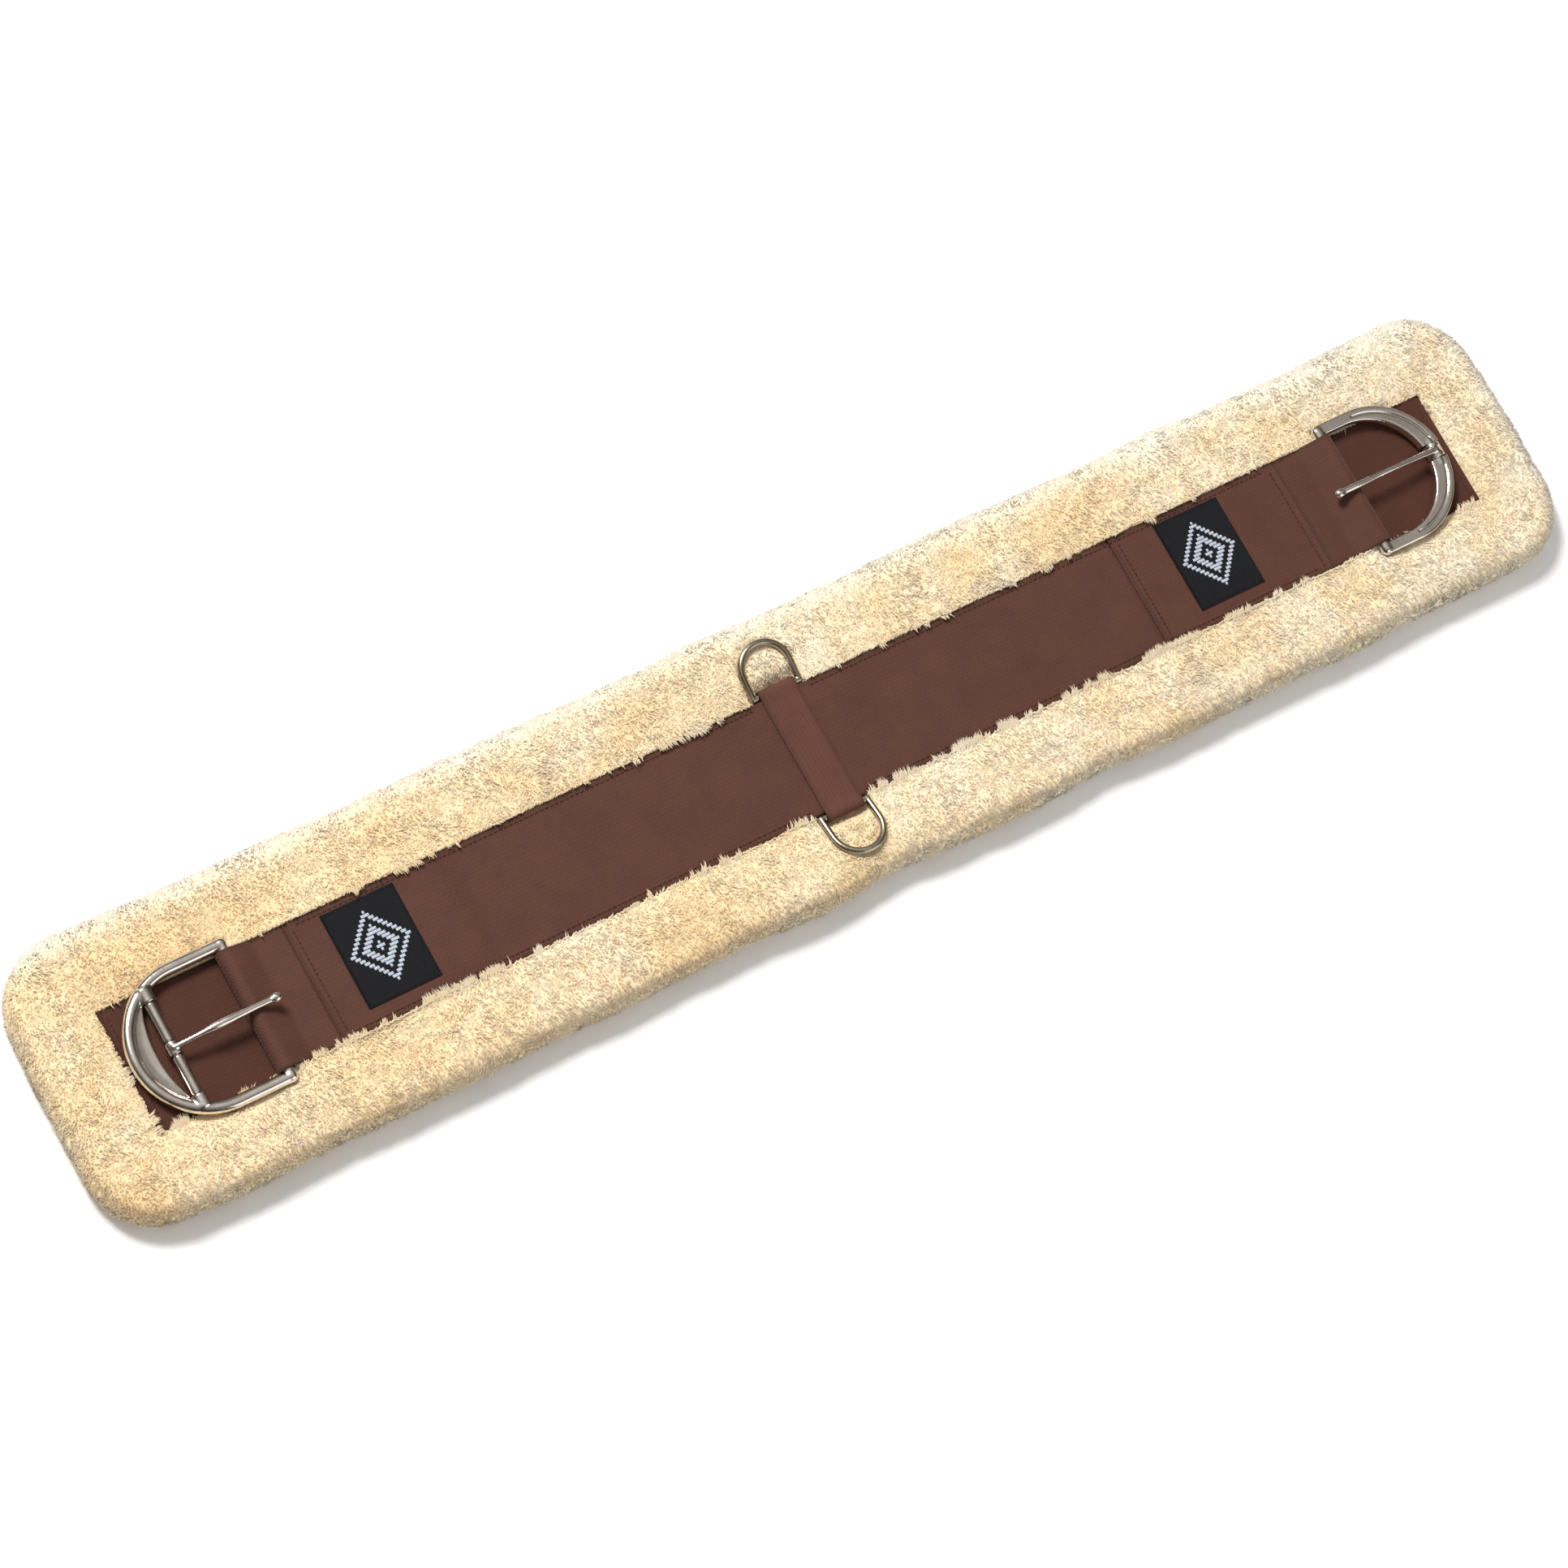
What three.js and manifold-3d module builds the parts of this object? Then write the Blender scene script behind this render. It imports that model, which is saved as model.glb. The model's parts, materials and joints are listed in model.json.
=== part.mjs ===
// Saddle girth: a fleece-lined webbing cinch with a buckle at each end and two dees at its centre.
// Millimetres. X runs along the girth from the near end (-X) to the off end (+X), Y runs across it
// from front (-Y) to rear (+Y), and +Z is up. The fleece lies on z = 0 and the webbing faces up.
import * as THREE from "three";
import { mergeVertices } from "three/addons/utils/BufferGeometryUtils.js";
import Module from "manifold-3d";

const wasm = await Module();
wasm.setup();

// ---- Driving dimensions ----
const NEAR = -1; // side of the near end
const OFF = 1; // side of the off end
const FRONT = -1; // side of the front edge
const REAR = 1; // side of the rear edge
const GAP = 0.3; // clearance between layers that touch
const OVERLAP = 1; // how far solids that are joined or cut run into each other

// Fleece pad
const PAD_LENGTH = 1022;
const PAD_WIDTH = 178;
const PAD_HEIGHT = 24;
const PAD_CORNER = 45; // plan radius of the four corners
const PAD_EDGE = 9; // rounding of the upper and lower edges
const CREST_Y = 60; // where the fleece reaches its full height beside the webbing
const LIP_Z = 19; // height of the fleece at the webbing's edge
const CORE_BOTTOM = 5;
const CORE_TOP = 13;
const CORE_LENGTH = 988;
const CORE_WIDTH = 144;
const CORE_CORNER = 30;
const RIDGE_LENGTH = 900; // raised middle of the core, which the webbing is sewn to
const RIDGE_WIDTH = 60;

// Webbing, 3 inches wide
const WEB_WIDTH = 76;
const BASE_LENGTH = 922;
const BASE_BOTTOM = 16.3;
const BASE_THICKNESS = 2;
const STRAP_THICKNESS = 1.8;
const LOWER_Z = BASE_BOTTOM + BASE_THICKNESS + GAP; // underside of the strap's lower layer
const UPPER_Z = LOWER_Z + STRAP_THICKNESS + GAP; // underside of its upper layer
const STRAP_TOP = UPPER_Z + STRAP_THICKNESS;
const NEAR_TAIL_X = 250; // the strap's near tail ends here, under the strap
const TAIL_GAP = 1; // room on each side of that point
const OFF_TAIL_X = 222; // its off tail ends here, on top of the strap
const STEP_RUN = 14; // length over which the strap comes down off the near tail

// Hinge lines of the flexible parts
const FLEX_X = 140; // the pad bends here, on each side of its centre
const FLEX_Z = BASE_BOTTOM + BASE_THICKNESS / 2;
const FLEX_UP = 60; // degrees that an outer span folds up over the webbing
const FLEX_DOWN = 40; // degrees that it bends down round the barrel
const LIFT_X = 346; // the strap is sewn down up to here, and free beyond it
const LIFT_Z = LOWER_Z - GAP / 2;
const LIFT_UP = 70; // degrees that the free end lifts
const HINGE_GAP = 0.25; // clearance on each side of a hinge line

// Buckles
const HEEL_X = 382.5; // axis of the heel bar that the strap folds round
const HEEL_R = 3.75;
const HEEL_Z = UPPER_Z + HEEL_R;
const CLOSE_REACH = 16.5; // distance from the heel bar to where the strap's two layers close
const ARM_Y = 42.05; // centre line of the frame's arms
const NEAR_ARC_X = 414.5; // centre of the near frame's round end
const CROSSBAR_X = 434;
const CROSSBAR_R = 2.2;
const CROSSBAR_HALF = 34.2;
const ROLLER_INNER = 2.5;
const ROLLER_OUTER = 3.4;
const ROLLER_START = 4.9; // each roller runs from here to ROLLER_END, beside the tongue
const ROLLER_END = 28.3;
const BOSS_R = 5; // ears that hold the crossbar's ends
const BOSS_START = 28.8;
const BOSS_END = 37.5;
const BOSS_DEPTH = 34.6; // how far out the bar's holes reach
const PLATE_HALF = 1.3; // half thickness of the plate inside the near frame's round end
const PLATE_EDGE_R = 75.8; // radius of that plate's inner edge
const PLATE_EDGE_X = 444;
const PLATE_RIM_ANGLE = 58; // the plate runs this many degrees each way along the round end
const PLATE_EDGE_ANGLE = 25; // and its inner edge this many about its own centre
const OFF_BAND_HALF = 3; // half thickness of the off frame
const OFF_BAND_BEVEL = 1.4;
const OFF_OUTER_X = 407.2; // centre of its outer arc
const OFF_OUTER_R = 45.8;
const OFF_INNER_X = 401.7; // centre of its inner arc
const OFF_INNER_R = 38.3;
const NECK_X = 446.5; // round neck that the off tongue turns on
const NECK_R = 3.2;
const NECK_HALF = 5.3;
const NECK_OVERLAP = 2; // length of the neck that is buried in the band at each end
const NOTCH_REACH = 12; // the notch round the neck runs this far each side of it
const TONGUE_R = 2.4;
const TONGUE_TIP_R = 3;
const NEAR_TIP_X = 371; // centre of each tongue's round tip
const OFF_TIP_X = 370;
const TIP_DROP = 0.4; // the tip rests this much lower than the shank over the fold
const ROOT_SINK = 0.8; // the shank starts this deep inside the top of its eye
const CLIMB_RUN = 14; // length over which the shank climbs away from its pivot
const CLIMB_SHARE = 0.72; // share of its whole rise that it has climbed there
const MIDDLE_SHARE = 0.93; // and halfway to the fold
const NEAR_EYE = { inner: 2.5, outer: 4.4, half: 3.9 };
const OFF_EYE = { inner: 3.5, outer: 5.6, half: 4.7 };
const TONGUE_REST_Z = UPPER_Z + 2 * HEEL_R + GAP + STRAP_THICKNESS + GAP + TONGUE_R;

// Centre dees and the cross strap that holds them
const DEE_X = -13;
const DEE_Y = 40.5; // axis of each dee's straight bar
const DEE_Z = 19.6;
const DEE_WIRE_R = 2;
const DEE_HALF = 16; // half width of the dee, to its wire's centre
const DEE_LEG = 13.5;
const DEE_TILT = 13; // degrees that a resting dee rises outwards
const KEEPER_WIDTH = 25;
const KEEPER_THICKNESS = 1.4;
const KEEPER_EYE_R = 2.3;
const KEEPER_BEND = 4; // width over which the keeper bends down off the strap
const HOOK_START = 100; // degrees round the dee's bar at which its hook starts
const HOOK_END = -110; // and ends
const POCKET_Z = 15.6; // the fleece is pressed down to here under each dee
const POCKET_HALF = 20;
const POCKET_Y = 75;

// Pockets in the fleece under the buckles
const BUCKLE_ROOM = 7; // reach past the centre line of the buckle's arms and round end
const BUCKLE_RUN = 12; // reach inwards past the heel bar

// Woven labels and stitching
const LABEL_THICKNESS = 0.6;
const LABEL = { length: 47, width: 60, y: 3 };
const NEAR_LABEL_X = -300.5;
const OFF_LABEL_X = 276.5;
const STITCH = { width: 1, height: 0.5, length: 70 };
const END_STITCH_X = 341;
const TAIL_STITCH_X = 227;

// How finely curved faces are divided
const ROUND_SIDES = 12;
const ARC_STEPS = 20;
const FOLD_STEPS = 10;
const HOOK_STEPS = 14;
const CORNER_STEPS = 10;
const EDGE_STEPS = 4;
const SHANK_STEPS = 16;
const FAR = 60; // margin by which cutting solids pass what they cut

// ---- Materials ----
const finish = (color, roughness, metalness = 0) =>
  new THREE.MeshStandardMaterial({ color, roughness, metalness });
const fleece = finish(0xeed9a8, 0.95);
const felt = finish(0xd8d2c4, 0.95);
const webbing = finish(0x5f3a31, 0.75);
const thread = finish(0x4a2a22, 0.8);
const label = finish(0x1a2029, 0.8);
const steel = finish(0xd3cfc8, 0.25, 1);
const wire = finish(0xb9ae97, 0.3, 1);

// ---- Solids from three.js geometry ----
function solidOf(geometry) {
  const bare = geometry.clone();
  bare.deleteAttribute("normal");
  bare.deleteAttribute("uv");
  const merged = mergeVertices(bare, 1e-4);
  return new wasm.Manifold(
    new wasm.Mesh({
      numProp: 3,
      vertProperties: new Float32Array(merged.attributes.position.array),
      triVerts: new Uint32Array(merged.index.array),
    }),
  );
}

function geometryOf(solid) {
  const mesh = solid.getMesh();
  const geometry = new THREE.BufferGeometry();
  geometry.setAttribute("position", new THREE.BufferAttribute(mesh.vertProperties, 3));
  geometry.setIndex(new THREE.BufferAttribute(mesh.triVerts, 1));
  const flat = geometry.toNonIndexed();
  flat.computeVertexNormals();
  return flat;
}

const joined = (first, ...others) => others.reduce((sum, other) => sum.add(other), first);
const cut = (first, ...others) => others.reduce((rest, other) => rest.subtract(other), first);

function block(x0, x1, y0, y1, z0, z1) {
  const box = new THREE.BoxGeometry(x1 - x0, y1 - y0, z1 - z0);
  return solidOf(box.translate((x0 + x1) / 2, (y0 + y1) / 2, (z0 + z1) / 2));
}

function shapeOf(points) {
  return new THREE.Shape(points.map(([u, v]) => new THREE.Vector2(u, v)));
}

// A plan outline in X and Y, raised from z0 to z1, with its edges rounded by a bevel if asked.
function raised(shape, z0, z1, bevel = 0, bevelSegments = 1, curveSegments = ARC_STEPS) {
  const geometry = new THREE.ExtrudeGeometry(shape, {
    depth: z1 - z0 - 2 * bevel,
    bevelEnabled: bevel > 0,
    bevelThickness: bevel,
    bevelSize: bevel,
    bevelOffset: -bevel,
    bevelSegments,
    curveSegments,
  });
  return solidOf(geometry.translate(0, 0, z0 + bevel));
}

// A profile in X and Z, run along Y.
function acrossGirth(shape, y0, y1) {
  const geometry = new THREE.ExtrudeGeometry(shape, { depth: y1 - y0, bevelEnabled: false });
  return solidOf(geometry.rotateX(Math.PI / 2).translate(0, y1, 0));
}

// A profile in Y and Z, run along X.
function alongGirth(shape, x0, x1) {
  const geometry = new THREE.ExtrudeGeometry(shape, { depth: x1 - x0, bevelEnabled: false });
  const turn = new THREE.Matrix4().makeBasis(
    new THREE.Vector3(0, 1, 0),
    new THREE.Vector3(0, 0, 1),
    new THREE.Vector3(1, 0, 0),
  );
  return solidOf(geometry.applyMatrix4(turn).translate(x0, 0, 0));
}

// A round bar between two points.
function bar(from, to, radius) {
  const a = new THREE.Vector3(...from);
  const b = new THREE.Vector3(...to);
  const geometry = new THREE.CylinderGeometry(radius, radius, a.distanceTo(b), ROUND_SIDES);
  const up = new THREE.Vector3(0, 1, 0);
  const turn = new THREE.Quaternion().setFromUnitVectors(up, b.clone().sub(a).normalize());
  geometry.applyQuaternion(turn);
  return solidOf(geometry.translate(...a.add(b).multiplyScalar(0.5)));
}

function ball(centre, radius) {
  const geometry = new THREE.SphereGeometry(radius, ROUND_SIDES, ROUND_SIDES / 2);
  return solidOf(geometry.translate(...centre));
}

// A round wire along a curve.
function wireAlong(curve, radius, steps) {
  const section = new THREE.Shape().absarc(0, 0, radius, 0, 2 * Math.PI);
  const geometry = new THREE.ExtrudeGeometry(section, {
    steps,
    extrudePath: curve,
    curveSegments: ROUND_SIDES / 2,
  });
  return solidOf(geometry);
}

// Half a circle in a level plane, from its +Y end to its -Y end through the given side of X.
class LevelArc extends THREE.Curve {
  constructor(centreX, radius, z, side) {
    super();
    Object.assign(this, { centreX, radius, z, side });
  }
  getPoint(t, target = new THREE.Vector3()) {
    const angle = Math.PI * (0.5 - t);
    const x = this.centreX + this.side * this.radius * Math.cos(angle);
    return target.set(x, this.radius * Math.sin(angle), this.z);
  }
}

// Points of an arc in a profile plane, from one angle to another, in degrees.
function arcPoints(centreU, centreV, radius, from, to, steps = FOLD_STEPS) {
  return Array.from({ length: steps + 1 }, (_, i) => {
    const angle = THREE.MathUtils.degToRad(from + ((to - from) * i) / steps);
    return [centreU + radius * Math.cos(angle), centreV + radius * Math.sin(angle)];
  });
}

const mirroredTo = (side, points) => points.map(([u, v]) => [side * u, v]);
const tanHalf = (degrees) => Math.tan(THREE.MathUtils.degToRad(degrees / 2));

// ---- Hinge notches ----
// The end face of a body at a hinge line, bottom to top. It leans back from the line on both
// sides of the hinge's height, so that neighbouring bodies meet only at the hinge's limits.
function hingeFace(x, z, towards, up, down) {
  const low = z - FAR;
  const high = z + FAR;
  return [
    [x + towards * (HINGE_GAP + FAR * tanHalf(down)), low],
    [x + towards * HINGE_GAP, z],
    [x + towards * (HINGE_GAP + FAR * tanHalf(up)), high],
  ];
}

// The room between two end faces, as a solid to keep what lies inside it.
function stretch(leftFace, rightFace) {
  return acrossGirth(shapeOf([...leftFace, ...rightFace.toReversed()]), -PAD_WIDTH, PAD_WIDTH);
}

const farFace = (side) => [
  [side * PAD_LENGTH, -FAR],
  [side * PAD_LENGTH, FAR],
];
const flexFace = (side, towards) =>
  hingeFace(side * FLEX_X, FLEX_Z, towards, FLEX_UP, FLEX_DOWN);
const liftFace = (side, towards) => hingeFace(side * LIFT_X, LIFT_Z, towards, LIFT_UP, 0);

const spans = {
  near: stretch(farFace(NEAR), flexFace(NEAR, NEAR)),
  centre: stretch(flexFace(NEAR, OFF), flexFace(OFF, NEAR)),
  off: stretch(flexFace(OFF, OFF), farFace(OFF)),
};

// ---- Fleece pad ----
function roundedPlan(length, width, radius) {
  const x = length / 2;
  const y = width / 2;
  const shape = new THREE.Shape();
  shape.moveTo(x, y - radius);
  shape.absarc(x - radius, y - radius, radius, 0, Math.PI / 2);
  shape.absarc(radius - x, y - radius, radius, Math.PI / 2, Math.PI);
  shape.absarc(radius - x, radius - y, radius, Math.PI, 1.5 * Math.PI);
  shape.absarc(x - radius, radius - y, radius, 1.5 * Math.PI, 2 * Math.PI);
  return shape;
}

// The felt core, or with a clearance the hollow that it fills.
function felting(clearance) {
  const plan = roundedPlan(
    CORE_LENGTH + 2 * clearance,
    CORE_WIDTH + 2 * clearance,
    CORE_CORNER + clearance,
  );
  const x = RIDGE_LENGTH / 2 + clearance;
  const y = RIDGE_WIDTH / 2 + clearance;
  return joined(
    raised(plan, CORE_BOTTOM - clearance, CORE_TOP + clearance, 0, 1, CORNER_STEPS),
    block(-x, x, -y, y, CORE_TOP - OVERLAP, BASE_BOTTOM - GAP + clearance),
  );
}

// Room above the fleece for a buckle lying on it.
function bucklePocket(side) {
  const reach = ARM_Y + BUCKLE_ROOM;
  const inner = [HEEL_X - BUCKLE_RUN, reach];
  const round = arcPoints(NEAR_ARC_X, 0, reach, 90, -90, ARC_STEPS);
  const outline = mirroredTo(side, [inner, ...round, [inner[0], -inner[1]]]);
  return raised(shapeOf(outline), HEEL_Z - HEEL_R - GAP, PAD_HEIGHT + FAR);
}

function fleeceCover() {
  const pad = raised(
    roundedPlan(PAD_LENGTH, PAD_WIDTH, PAD_CORNER),
    0,
    PAD_HEIGHT,
    PAD_EDGE,
    EDGE_STEPS,
    CORNER_STEPS,
  );
  const channelX = BASE_LENGTH / 2 + 2 * GAP;
  const channelY = WEB_WIDTH / 2 + 2 * GAP;
  const top = PAD_HEIGHT + FAR;
  const slope = (edge) =>
    alongGirth(
      shapeOf([
        [edge * (channelY - OVERLAP), LIP_Z],
        [edge * channelY, LIP_Z],
        [edge * CREST_Y, PAD_HEIGHT],
        [edge * CREST_Y, top],
        [edge * (channelY - OVERLAP), top],
      ]),
      -channelX,
      channelX,
    );
  const deePocket = (edge) => {
    const y = [edge * (channelY - OVERLAP), edge * POCKET_Y].sort((a, b) => a - b);
    return block(DEE_X - POCKET_HALF, DEE_X + POCKET_HALF, ...y, POCKET_Z, top);
  };
  return cut(
    pad,
    block(-channelX, channelX, -channelY, channelY, BASE_BOTTOM - GAP, top),
    slope(FRONT),
    slope(REAR),
    deePocket(FRONT),
    deePocket(REAR),
    bucklePocket(NEAR),
    bucklePocket(OFF),
    felting(GAP),
  );
}

// ---- Webbing ----
const webHalf = WEB_WIDTH / 2;

function baseWeb() {
  const x = BASE_LENGTH / 2;
  return block(-x, x, -webHalf, webHalf, BASE_BOTTOM, BASE_BOTTOM + BASE_THICKNESS);
}

// A flat strap whose underside follows the points, which run in X.
function strap(underside) {
  const topside = underside.map(([x, z]) => [x, z + STRAP_THICKNESS]).toReversed();
  return acrossGirth(shapeOf([...underside, ...topside]), -webHalf, webHalf);
}

// The main strap lies over its own tail at the near end and straight on the base web elsewhere.
function mainStrap() {
  return strap([
    [NEAR * PAD_LENGTH, UPPER_Z],
    [NEAR * (NEAR_TAIL_X - TAIL_GAP), UPPER_Z],
    [NEAR * (NEAR_TAIL_X - STEP_RUN), LOWER_Z],
    [OFF * PAD_LENGTH, LOWER_Z],
  ]);
}

const sewn = stretch(liftFace(NEAR, OFF), liftFace(OFF, NEAR));

function nearTail() {
  const tail = strap([
    [NEAR * PAD_LENGTH, LOWER_Z],
    [NEAR * (NEAR_TAIL_X + TAIL_GAP), LOWER_Z],
  ]);
  return tail.intersect(sewn);
}

function offTail() {
  const tail = strap([
    [OFF * OFF_TAIL_X, UPPER_Z],
    [OFF * PAD_LENGTH, UPPER_Z],
  ]);
  return tail.intersect(sewn);
}

// The free end of the strap: both layers and the fold round the heel bar.
function buckleLoop(side) {
  const innerR = HEEL_R + GAP;
  const outerR = innerR + STRAP_THICKNESS;
  const closeX = HEEL_X - CLOSE_REACH;
  const away = Math.atan2(UPPER_Z - HEEL_Z, closeX - HEEL_X);
  const reach = Math.hypot(UPPER_Z - HEEL_Z, closeX - HEEL_X);
  // The angle round the bar at which the upper layer leaves it.
  const tangent = away + 2 * Math.PI - Math.acos(innerR / reach);
  const leave = THREE.MathUtils.radToDeg(tangent);
  const drop = HEEL_Z + outerR * Math.sin(tangent) - STRAP_TOP;
  const outerCloseX = HEEL_X + outerR * Math.cos(tangent) + drop * Math.tan(tangent);
  const inside = [
    [0, UPPER_Z],
    [closeX, UPPER_Z],
    ...arcPoints(HEEL_X, HEEL_Z, innerR, leave, -90),
    [0, HEEL_Z - innerR],
  ];
  const outside = [
    [0, HEEL_Z - outerR],
    ...arcPoints(HEEL_X, HEEL_Z, outerR, -90, leave),
    [outerCloseX, STRAP_TOP],
    [0, STRAP_TOP],
  ];
  const fold = acrossGirth(shapeOf(mirroredTo(side, [...inside, ...outside])), -webHalf, webHalf);
  const free = [liftFace(side, side), farFace(side)];
  return fold.intersect(stretch(...(side > 0 ? free : free.toReversed())));
}

// ---- Buckles ----
// The heel bar, with round corners at the arms.
function heelBar(side) {
  const x = side * HEEL_X;
  return joined(
    bar([x, -ARM_Y, HEEL_Z], [x, ARM_Y, HEEL_Z], HEEL_R),
    ball([x, -ARM_Y, HEEL_Z], HEEL_R),
    ball([x, ARM_Y, HEEL_Z], HEEL_R),
  );
}

function nearFrame() {
  const x = (distance) => NEAR * distance;
  const arms = [FRONT, REAR].map((edge) =>
    bar(
      [x(HEEL_X), edge * ARM_Y, HEEL_Z],
      [x(NEAR_ARC_X + OVERLAP), edge * ARM_Y, HEEL_Z],
      HEEL_R,
    ),
  );
  const round = wireAlong(new LevelArc(x(NEAR_ARC_X), ARM_Y, HEEL_Z, NEAR), HEEL_R, ARC_STEPS);
  const edgeCentre = PLATE_EDGE_X - PLATE_EDGE_R;
  const crescent = shapeOf(
    mirroredTo(NEAR, [
      ...arcPoints(NEAR_ARC_X, 0, ARM_Y, -PLATE_RIM_ANGLE, PLATE_RIM_ANGLE, ARC_STEPS),
      ...arcPoints(edgeCentre, 0, PLATE_EDGE_R, PLATE_EDGE_ANGLE, -PLATE_EDGE_ANGLE, ARC_STEPS),
    ]),
  );
  const plate = raised(crescent, HEEL_Z - PLATE_HALF, HEEL_Z + PLATE_HALF);
  const bosses = [FRONT, REAR].map((edge) =>
    bar(
      [x(CROSSBAR_X), edge * BOSS_START, HEEL_Z],
      [x(CROSSBAR_X), edge * BOSS_END, HEEL_Z],
      BOSS_R,
    ),
  );
  const hole = bar(
    [x(CROSSBAR_X), -BOSS_DEPTH, HEEL_Z],
    [x(CROSSBAR_X), BOSS_DEPTH, HEEL_Z],
    ROLLER_INNER,
  );
  return cut(joined(heelBar(NEAR), ...arms, round, plate, ...bosses), hole);
}

function crossbar() {
  const x = NEAR * CROSSBAR_X;
  return bar([x, -CROSSBAR_HALF, HEEL_Z], [x, CROSSBAR_HALF, HEEL_Z], CROSSBAR_R);
}

// One sleeve that turns on the crossbar.
function roller(edge) {
  const x = NEAR * CROSSBAR_X;
  const tube = (radius, end) =>
    bar([x, edge * (ROLLER_START - end), HEEL_Z], [x, edge * (ROLLER_END + end), HEEL_Z], radius);
  return cut(tube(ROLLER_OUTER, 0), tube(ROLLER_INNER, OVERLAP));
}

// The off frame is a broad band that widens towards its round end, with a neck for the tongue.
function offFrame() {
  const outline = [
    [HEEL_X, -OFF_OUTER_R],
    ...arcPoints(OFF_OUTER_X, 0, OFF_OUTER_R, -90, 90, ARC_STEPS),
    [HEEL_X, OFF_OUTER_R],
    [HEEL_X, OFF_INNER_R],
    ...arcPoints(OFF_INNER_X, 0, OFF_INNER_R, 90, -90, ARC_STEPS),
    [HEEL_X, -OFF_INNER_R],
  ];
  const band = raised(
    shapeOf(outline),
    HEEL_Z - OFF_BAND_HALF,
    HEEL_Z + OFF_BAND_HALF,
    OFF_BAND_BEVEL,
  );
  const notch = block(
    NECK_X - NOTCH_REACH,
    NECK_X + NOTCH_REACH,
    -NECK_HALF,
    NECK_HALF,
    0,
    FAR,
  );
  const neckEnd = NECK_HALF + NECK_OVERLAP;
  const neck = bar([NECK_X, -neckEnd, HEEL_Z], [NECK_X, neckEnd, HEEL_Z], NECK_R);
  return joined(cut(joined(band, heelBar(OFF)), notch), neck);
}

// A tongue: an eye round its bar, and a shank that rises over the fold and ends in a round tip.
function tongue(side, pivotX, eye, tipX) {
  const ring = (radius, half) =>
    bar([side * pivotX, -half, HEEL_Z], [side * pivotX, half, HEEL_Z], radius);
  const rise = TONGUE_REST_Z - HEEL_Z;
  const rootZ = HEEL_Z + eye.outer - ROOT_SINK;
  const line = [
    [pivotX, rootZ],
    [pivotX - CLIMB_RUN, Math.max(rootZ, HEEL_Z + CLIMB_SHARE * rise)],
    [(pivotX + HEEL_X) / 2, HEEL_Z + MIDDLE_SHARE * rise],
    [HEEL_X, TONGUE_REST_Z],
    [tipX, TONGUE_REST_Z - TIP_DROP],
  ].map(([x, z]) => new THREE.Vector3(side * x, 0, z));
  const shank = wireAlong(new THREE.CatmullRomCurve3(line), TONGUE_R, SHANK_STEPS);
  return cut(
    joined(ring(eye.outer, eye.half), shank, ball(line.at(-1), TONGUE_TIP_R)),
    ring(eye.inner, eye.half + OVERLAP),
  );
}

// ---- Dees and their keeper ----
// A dee lying level, with its straight bar on the X axis and its round end towards the given edge.
function dee(edge) {
  const corners = [-DEE_HALF, DEE_HALF];
  const legs = corners.map((x) => bar([x, 0, 0], [x, edge * (DEE_LEG + OVERLAP / 2), 0], DEE_WIRE_R));
  const balls = corners.map((x) => ball([x, 0, 0], DEE_WIRE_R));
  const half = Math.PI / 2;
  const round = new THREE.Curve();
  round.getPoint = (t, target = new THREE.Vector3()) => {
    const angle = half * (1 - 2 * t);
    const y = edge * (DEE_LEG + DEE_HALF * Math.cos(angle));
    return target.set(DEE_HALF * Math.sin(angle), y, 0);
  };
  return joined(
    bar([-DEE_HALF, 0, 0], [DEE_HALF, 0, 0], DEE_WIRE_R),
    ...legs,
    ...balls,
    wireAlong(round, DEE_WIRE_R, ARC_STEPS),
  );
}

// The cross strap lies over the main strap and hooks round both dees' bars.
function deeKeeper() {
  const outerR = KEEPER_EYE_R + KEEPER_THICKNESS;
  const over = [
    [webHalf - KEEPER_BEND, UPPER_Z + KEEPER_THICKNESS],
    ...arcPoints(DEE_Y, DEE_Z, outerR, HOOK_START, HOOK_END, HOOK_STEPS),
    ...arcPoints(DEE_Y, DEE_Z, KEEPER_EYE_R, HOOK_END, 90, HOOK_STEPS),
    [webHalf - KEEPER_BEND / 2, UPPER_Z],
  ];
  const profile = [...over, ...mirroredTo(-1, over).toReversed()];
  const half = KEEPER_WIDTH / 2;
  return alongGirth(shapeOf(profile), DEE_X - half, DEE_X + half);
}

// ---- Labels and stitching ----
function wovenLabel(x) {
  const { length, width, y } = LABEL;
  const z = STRAP_TOP + GAP;
  return block(
    x - length / 2,
    x + length / 2,
    y - width / 2,
    y + width / 2,
    z,
    z + LABEL_THICKNESS,
  );
}

function stitchRow(x) {
  const z = STRAP_TOP + GAP;
  const { width, height, length } = STITCH;
  return block(x - width / 2, x + width / 2, -length / 2, length / 2, z, z + height);
}

// ---- Assembly ----
const girth = new THREE.Group();
girth.name = "saddle_girth";

function place(parent, name, solid, material) {
  const mesh = new THREE.Mesh(geometryOf(solid), material);
  mesh.name = name;
  parent.add(mesh);
  return mesh;
}

// The layers that run the whole length, divided at the hinge lines of the pad.
const cover = fleeceCover();
const core = felting(0);
const base = baseWeb();
const sewnStrap = mainStrap().intersect(sewn);
for (const [name, span] of Object.entries(spans)) {
  const group = new THREE.Group();
  girth.add(group);
  place(group, `fleece_cover_${name}`, cover.intersect(span), fleece);
  place(group, `felt_core_${name}`, core.intersect(span), felt);
  place(group, `base_web_${name}`, base.intersect(span), webbing);
  place(group, `main_strap_${name}`, sewnStrap.intersect(span), webbing);
}

place(girth, "near_strap_tail", nearTail(), webbing);
place(girth, "off_strap_tail", offTail(), webbing);
place(girth, "near_buckle_loop", buckleLoop(NEAR), webbing);
place(girth, "off_buckle_loop", buckleLoop(OFF), webbing);

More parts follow.
